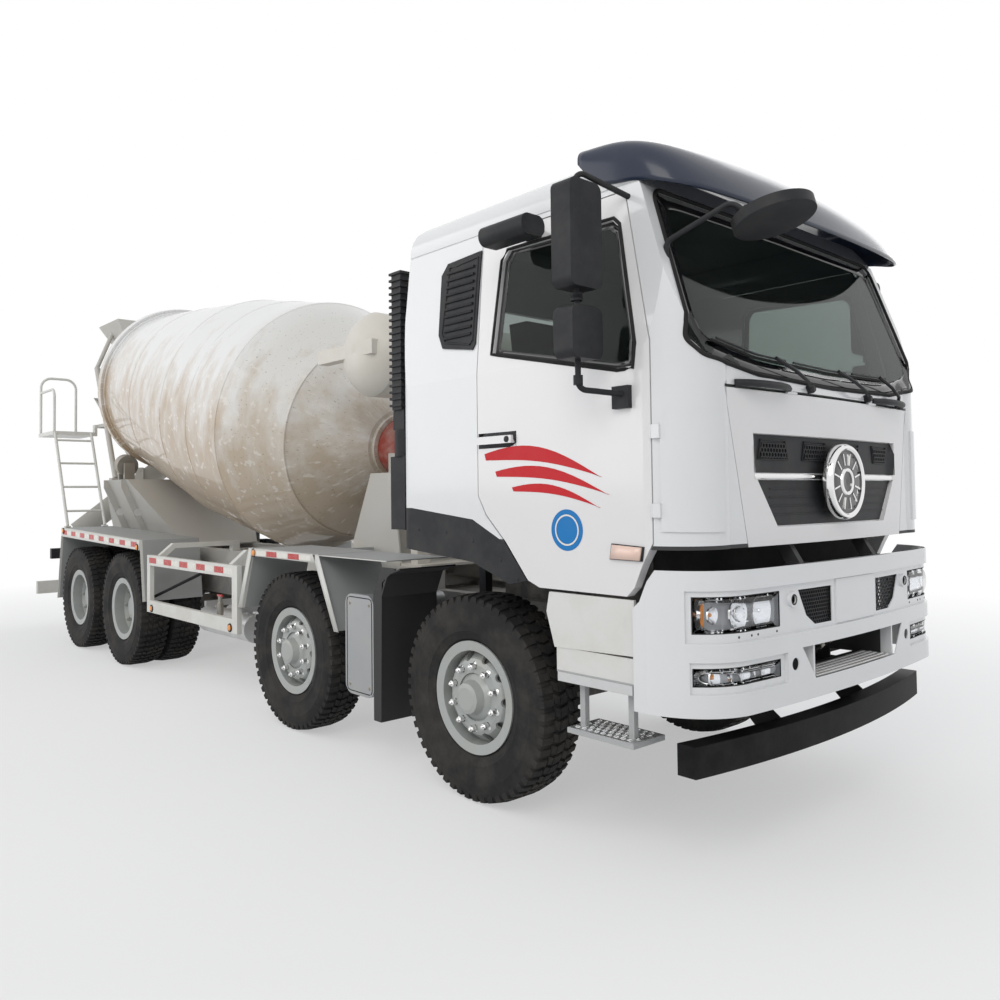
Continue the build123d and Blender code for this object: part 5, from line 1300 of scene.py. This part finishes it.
# %% Bolts and lid seam of the grey cover
cover_skin = surface("silencer_box")
low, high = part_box("silencer_box")
mesh, seam = bmesh.new(), bmesh.new()
x0, x1, z0, z1 = low[0] + 0.020, high[0] - 0.020, low[2] + 0.020, high[2] - 0.020
for x, z in ((x0 + 0.03, z0 + 0.04), (x1 - 0.03, z0 + 0.04), (x0 + 0.03, z1 - 0.04), (x1 - 0.03, z1 - 0.04)):
    spot = lay(cover_skin, Vector((x, -3.0, z)), RIGHT)
    bolt = [(0.0, 0.007), (0.007, 0.007), (0.007, 0.002), (0.013, 0.001), (0.014, 0.0)]
    add_turned(mesh, bolt, spot, (0, -1, 0), 12)
ring = trace([(x0, -3.0, z0), (x1, -3.0, z0), (x1, -3.0, z1), (x0, -3.0, z1)], 0.03, closed=True)
soft = [(ring[k - 1] + ring[k] * 2 + ring[(k + 1) % len(ring)]) / 4 for k in range(len(ring))]
add_bead(seam, [lay(cover_skin, p, RIGHT, 0.0) for p in soft], 0.003, 6)
piece("cover_bolts", mesh, "root", roller_steel)
piece("cover_seam", seam, "root", black_rubber)

# %% [markdown]
# ## Drum
# The shell is rolled from sheet in courses, so fine weld seams run round it where the cones meet the belt.
# The ends of the two mixing blades show inside the mouth. All of it is drawn about the drum's own axis,
# which rises to the rear. A bump in the paint could draw the seams; turned beads show on the drum's outline
# too.

# %% Drum seams and blades
drum_way = Vector((-cos(drum_rise), 0, sin(drum_rise)))
seams = bmesh.new()
for station, radius in ((0.380, 0.860), (1.050, 1.140), (1.650, 1.140), (2.250, 1.140), (3.350, 1.035)):
    low, high = radius - 0.004, radius + 0.0035
    bead = [(low, -0.010), (high, -0.005), (high, 0.005), (low, 0.010)]
    add_turned(seams, bead, drum_foot + drum_way * station, drum_way, 96)
for station, radius in ((4.372, 0.942), (4.528, 0.905)):
    low, high = radius - 0.012, radius + 0.016
    lip = [(low, -0.014), (high, -0.014), (high, 0.014), (low, 0.014)]
    add_turned(seams, lip, drum_foot + drum_way * station, drum_way, 96)
rim = [(0.592, 5.320), (0.618, 5.320), (0.618, 5.352), (0.592, 5.352)]
add_turned(seams, rim, drum_foot, drum_way, 72, closed=True)
piece("drum_seams", seams, "drum", drum_shell, outward=True)
blades = bmesh.new()
side_way = Vector((0, 1, 0))
third_way = drum_way.cross(side_way)
for start in (0.0, pi):
    rows = []
    for t in spread(0, 1, 60):
        station = 3.9 + 1.42 * t
        wall = 0.925 + (station - 4.45) * (-0.3667 if station > 4.45 else -0.0955) - 0.014
        turn = start + t * 2.2
        out = side_way * cos(turn) + third_way * sin(turn)
        base = drum_foot + drum_way * station
        rows.append([blades.verts.new(base + out * r) for r in (wall, wall - 0.26 + 0.19 * t)])
    for here, there in zip(rows, rows[1:]):
        blades.faces.new((here[0], here[1], there[1], there[0]))
thick(piece("drum_blades", blades, "drum", drum_shell), 0.006)

# %% [markdown]
# ## Reflective tape and marker lamps
# Long trucks carry red and white tape along both sides, in blocks of equal length, and small amber lamps.
# The blocks are laid on the fender bands and the top bars of the side guards. They could be a picture on
# the paint, but a patch of its own has an edge and its own shine.

# %% Tape and amber lamps
reds, whites, ambers, rings = bmesh.new(), bmesh.new(), bmesh.new(), bmesh.new()
fender_skin, guard_skin = surface("fenders"), surface("side_guards")


def add_tape(skin, s, way, x0, x1, z_of, height, count, first_red=True):
    """Adds a row of blocks between two stations, each a patch on the panel."""
    length = (x1 - x0) / count
    for k in range(count):
        a, b = x0 + length * k + 0.004, x0 + length * (k + 1) - 0.004
        corners = [(a, z_of(a)), (b, z_of(b)), (b, z_of(b) + height), (a, z_of(a) + height)]
        part = reds if (k % 2 == 0) == first_red else whites
        add_patch(part, skin, [beside(x, z, s) for x, z in corners], way, 0.0012, spacing=0.3)


for name, s, way in SIDES:
    add_tape(fender_skin, s, way, -7.02, -4.70, lambda x: 1.187 - 0.0262 * (x + 4.64), 0.050, 15)
    add_tape(guard_skin, s, way, -4.40, -2.68, lambda x: 1.058, 0.050, 10)
    for x, z in ((-7.000, 1.290), (-4.690, 1.190), (-2.345, 1.245), (-4.335, 0.640), (-2.740, 0.640)):
        spot = beside(x, z, s)
        skin = fender_skin if z > 1 else guard_skin
        hit, _, _, _ = skin.ray_cast(spot, way)
        if hit is None:
            hit = Vector((spot.x, s * 1.218, spot.z))
        add_turned(ambers, [(0, 0.016), (0.018, 0.014), (0.026, 0.006), (0.026, 0.0)], hit, -way, 20)
        add_turned(rings, [(0.026, 0.009), (0.033, 0.007), (0.034, 0.0)], hit, -way, 20)
piece("tape_reds", reds, "root", tape_red, smooth=False)
piece("tape_whites", whites, "root", tape_white, smooth=False)
piece("amber_lamps", ambers, "root", amber, outward=True)
piece("amber_rings", rings, "root", black_rubber, outward=True)

# %% [markdown]
# The second axle's fender ends in a folded lip: a flat strip over the wheel and one down each side. The
# strips are drawn in side view and given a thickness. The short row of tape stands on the upper strip.

# %% Folded edge of the second axle's fender, with its tape
mesh, blocks, pale_blocks = bmesh.new(), bmesh.new(), bmesh.new()
for s in (-1, 1):
    y = s * 1.2225
    for outline in (
        ((-2.378, 1.277), (-1.476, 1.270), (-1.476, 1.215), (-2.378, 1.222)),
        ((-1.500, 1.270), (-1.430, 1.270), (-1.192, 0.783), (-1.245, 0.783)),
        ((-2.360, 1.277), (-2.424, 1.277), (-2.598, 0.816), (-2.545, 0.816)),
    ):
        mesh.faces.new([mesh.verts.new(at(x, y, z)) for x, z in outline])
    for k in range(5):
        a = -2.30 + 0.155 * k
        part = blocks if k % 2 else pale_blocks
        add_box(part, at(a + 0.004, y, 1.226), at(a + 0.151, y + s * 0.0045, 1.264))
thick(piece("fender_edges", mesh, "root", white_steel), 0.003)
piece("fender_tape_reds", blocks, "root", tape_red)
piece("fender_tape_whites", pale_blocks, "root", tape_white)

# %% [markdown]
# Behind the side guard a round brace runs up to the frame, and a drain valve hangs with a red grip. Turned
# and square forms give them a shape that reads right at a distance.

# %% Brace and valve behind the right side guard
mesh = bmesh.new()
add_tube(mesh, [at(-4.440, -1.150, 0.735), at(-3.581, -1.000, 1.031)], 0.014, 10)
piece("guard_brace", mesh, "root", black_steel)
mesh, grip = bmesh.new(), bmesh.new()
body = [(0, 0), (0.028, 0), (0.028, 0.10), (0.018, 0.11), (0.018, 0.16), (0, 0.16)]
add_turned(mesh, body, at(-3.33, -1.02, 0.66), (0, 0, 1), 20)
add_box(grip, at(-3.375, -1.030, 0.815), at(-3.285, -1.010, 0.835))
add_box(grip, at(-3.340, -1.030, 0.775), at(-3.320, -1.010, 0.820))
piece("valve_body", mesh, "root", roller_steel)
piece("valve_grip", grip, "root", tape_red, bevel=0.004)

# %% [markdown]
# ## Rear end
# Each tail lamp is a long body on a black bracket, with its colours in a row. The guard bar carries the
# same tape as the sides. Boxes with a small bevel are all that such lamps need.

# %% Tail lamps and guard tape
shells, reds, oranges, clears = [bmesh.new() for _ in range(4)]
for s in (-1, 1):
    add_box(shells, at(-8.055, s * 0.62, 0.905), at(-7.985, s * 1.08, 1.035))
    add_box(shells, at(-8.000, s * 0.435, 0.955), at(-7.980, s * 0.80, 0.985))
    add_box(shells, at(-8.000, s * 0.431, 0.900), at(-7.900, s * 0.445, 1.040))
    for part, a, b in ((oranges, 0.94, 1.07), (reds, 0.79, 0.93), (clears, 0.71, 0.78), (reds, 0.63, 0.70)):
        add_box(part, at(-8.066, s * a, 0.915), at(-8.054, s * b, 1.025))
low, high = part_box("rear_guard")
for k in range(14):
    a = -1.12 + k * 0.16
    part = reds if k % 2 == 0 else clears
    add_box(part, (low[0] - 0.001, a + 0.004, 0.495), (low[0] + 0.002, a + 0.156, 0.545))
piece("tail_shells", shells, "root", black_plastic, bevel=0.004)
piece("tail_reds", reds, "root", tape_red, bevel=0.002)
piece("tail_oranges", oranges, "root", amber, bevel=0.002)
piece("tail_clears", clears, "root", tape_white, bevel=0.002)

# %% [markdown]
# ## Camera, light and floor
# The truck is seen from its right front corner, from standing height, with a wide lens. The camera stays
# nearly level, which keeps upright edges upright, and a small shift of the lens puts the truck in the middle
# of the frame. Turning the camera up instead would make the cab lean back.

# %% Camera
heading, climb, lean = radians(49.7486), radians(1.9639), radians(-0.5765)
forward = Vector((-sin(heading) * cos(climb), cos(heading) * cos(climb), sin(climb)))
right = forward.cross(Vector((0, 0, 1))).normalized()
up = right.cross(forward)
right, up = cos(lean) * right + sin(lean) * up, -sin(lean) * right + cos(lean) * up
camera_data = bpy.data.cameras.new("camera")
camera_data.sensor_width = 36.0
camera_data.lens = 0.85102 * camera_data.sensor_width
camera_data.shift_x, camera_data.shift_y = 0.05803, -0.03436
camera_data.clip_end = 200.0
camera = bpy.data.objects.new("camera", camera_data)
turn = Matrix((right, up, -forward)).transposed().to_4x4()
camera.matrix_world = Matrix.Translation(at(3.4753, -4.2844, 1.6663)) @ turn
bpy.context.scene.collection.objects.link(camera)
bpy.context.scene.camera = camera
print("camera:", round(camera_data.lens, 2), "mm lens,", round(camera.location.z, 2), "m up")

# %% [markdown]
# Three large soft lamps, in front, behind and on the far side, give broad highlights on the drum and the
# cab. A dim bluish sky fills the shadows. Rays that reach the camera, directly or by a reflection, find
# plain white instead of that sky.

# %% Light
scene = bpy.context.scene
scene.view_settings.view_transform = "Standard"
world = bpy.data.worlds.new("studio")
scene.world = world
world.use_nodes = True
tree = world.node_tree
sky = tree.nodes["Background"]
sky.inputs["Color"].default_value = (0.93, 0.96, 1.0, 1)
sky.inputs["Strength"].default_value = 0.62
white = tree.nodes.new("ShaderNodeBackground")
white.inputs["Color"].default_value = (1, 1, 1, 1)
white.inputs["Strength"].default_value = 1.0


def seen_rays(tree):
    """1 for rays from the camera, off glossy surfaces and through glass, and 0 for all other rays."""
    path = tree.nodes.new("ShaderNodeLightPath").outputs
    glossy = maths(tree, "MAXIMUM", path["Is Camera Ray"], path["Is Glossy Ray"])
    return maths(tree, "MAXIMUM", glossy, path["Is Transmission Ray"])


choose = tree.nodes.new("ShaderNodeMixShader")
tree.links.new(seen_rays(tree), choose.inputs["Fac"])
tree.links.new(sky.outputs["Background"], choose.inputs[1])
tree.links.new(white.outputs["Background"], choose.inputs[2])
tree.links.new(choose.outputs["Shader"], tree.nodes["World Output"].inputs["Surface"])

# %% Soft lamps
def lamp(name, place, target, size, power, colour=(1, 1, 1)):
    """A square soft light that looks at a point."""
    data = bpy.data.lights.new(name, "AREA")
    data.size, data.energy, data.color = size, power, colour
    made = bpy.data.objects.new(name, data)
    aim = (Vector(target) - Vector(place)).to_track_quat("-Z", "Y")
    made.matrix_world = Matrix.Translation(place) @ aim.to_matrix().to_4x4()
    scene.collection.objects.link(made)


centre = at(-3.4, 0, 1.6)
lamp("key", at(6, -11, 10), centre, 8, 660, (1.0, 0.97, 0.92))
lamp("fill", at(-10, -10, 6), centre, 9, 330)
lamp("rear", at(-4, 11, 8), centre, 9, 350)
print("lamps:", len(bpy.data.lights))

# %% [markdown]
# The floor and the surroundings are white for the camera and in reflections and seen through glass. The
# floor does not turn white with more lamps: its own grey keeps the truck's shadow, and a plain white is
# mixed in, a little near the truck and fully further off, so that no horizon shows.

# %% Floor
floor_mesh = bmesh.new()
reach = 60.0
corners = ((-reach, -reach), (reach, -reach), (reach, reach), (-reach, reach))
floor_mesh.faces.new([floor_mesh.verts.new((x, y, 0)) for x, y in corners])
floor_data = bpy.data.meshes.new("floor")
floor_mesh.to_mesh(floor_data)
floor = bpy.data.objects.new("floor", floor_data)
scene.collection.objects.link(floor)
pale, tree, grey = new_material("pale floor")
grey.inputs["Base Color"].default_value = (0.78, 0.78, 0.78, 1)
grey.inputs["Roughness"].default_value = 0.9
grey.inputs["Specular IOR Level"].default_value = 0.1
plain = tree.nodes.new("ShaderNodeEmission")
plain.inputs["Color"].default_value = (1, 1, 1, 1)
plain.inputs["Strength"].default_value = 1.0
away = tree.nodes.new("ShaderNodeVectorMath")
away.operation = "DISTANCE"
tree.links.new(tree.nodes.new("ShaderNodeNewGeometry").outputs["Position"], away.inputs[0])
away.inputs[1].default_value = at(-3.4, 0, 0) * Vector((1, 1, 0))
fade = ramp(tree, away.outputs["Value"], 5.0, 11.0, 0.45, 1.0)
over = tree.nodes.new("ShaderNodeMixShader")
tree.links.new(maths(tree, "MULTIPLY", seen_rays(tree), fade), over.inputs["Fac"])
tree.links.new(grey.outputs["BSDF"], over.inputs[1])
tree.links.new(plain.outputs["Emission"], over.inputs[2])
tree.links.new(over.outputs["Shader"], tree.nodes["Material Output"].inputs["Surface"])
floor_data.materials.append(pale)
print("floor:", 2 * reach, "m square")
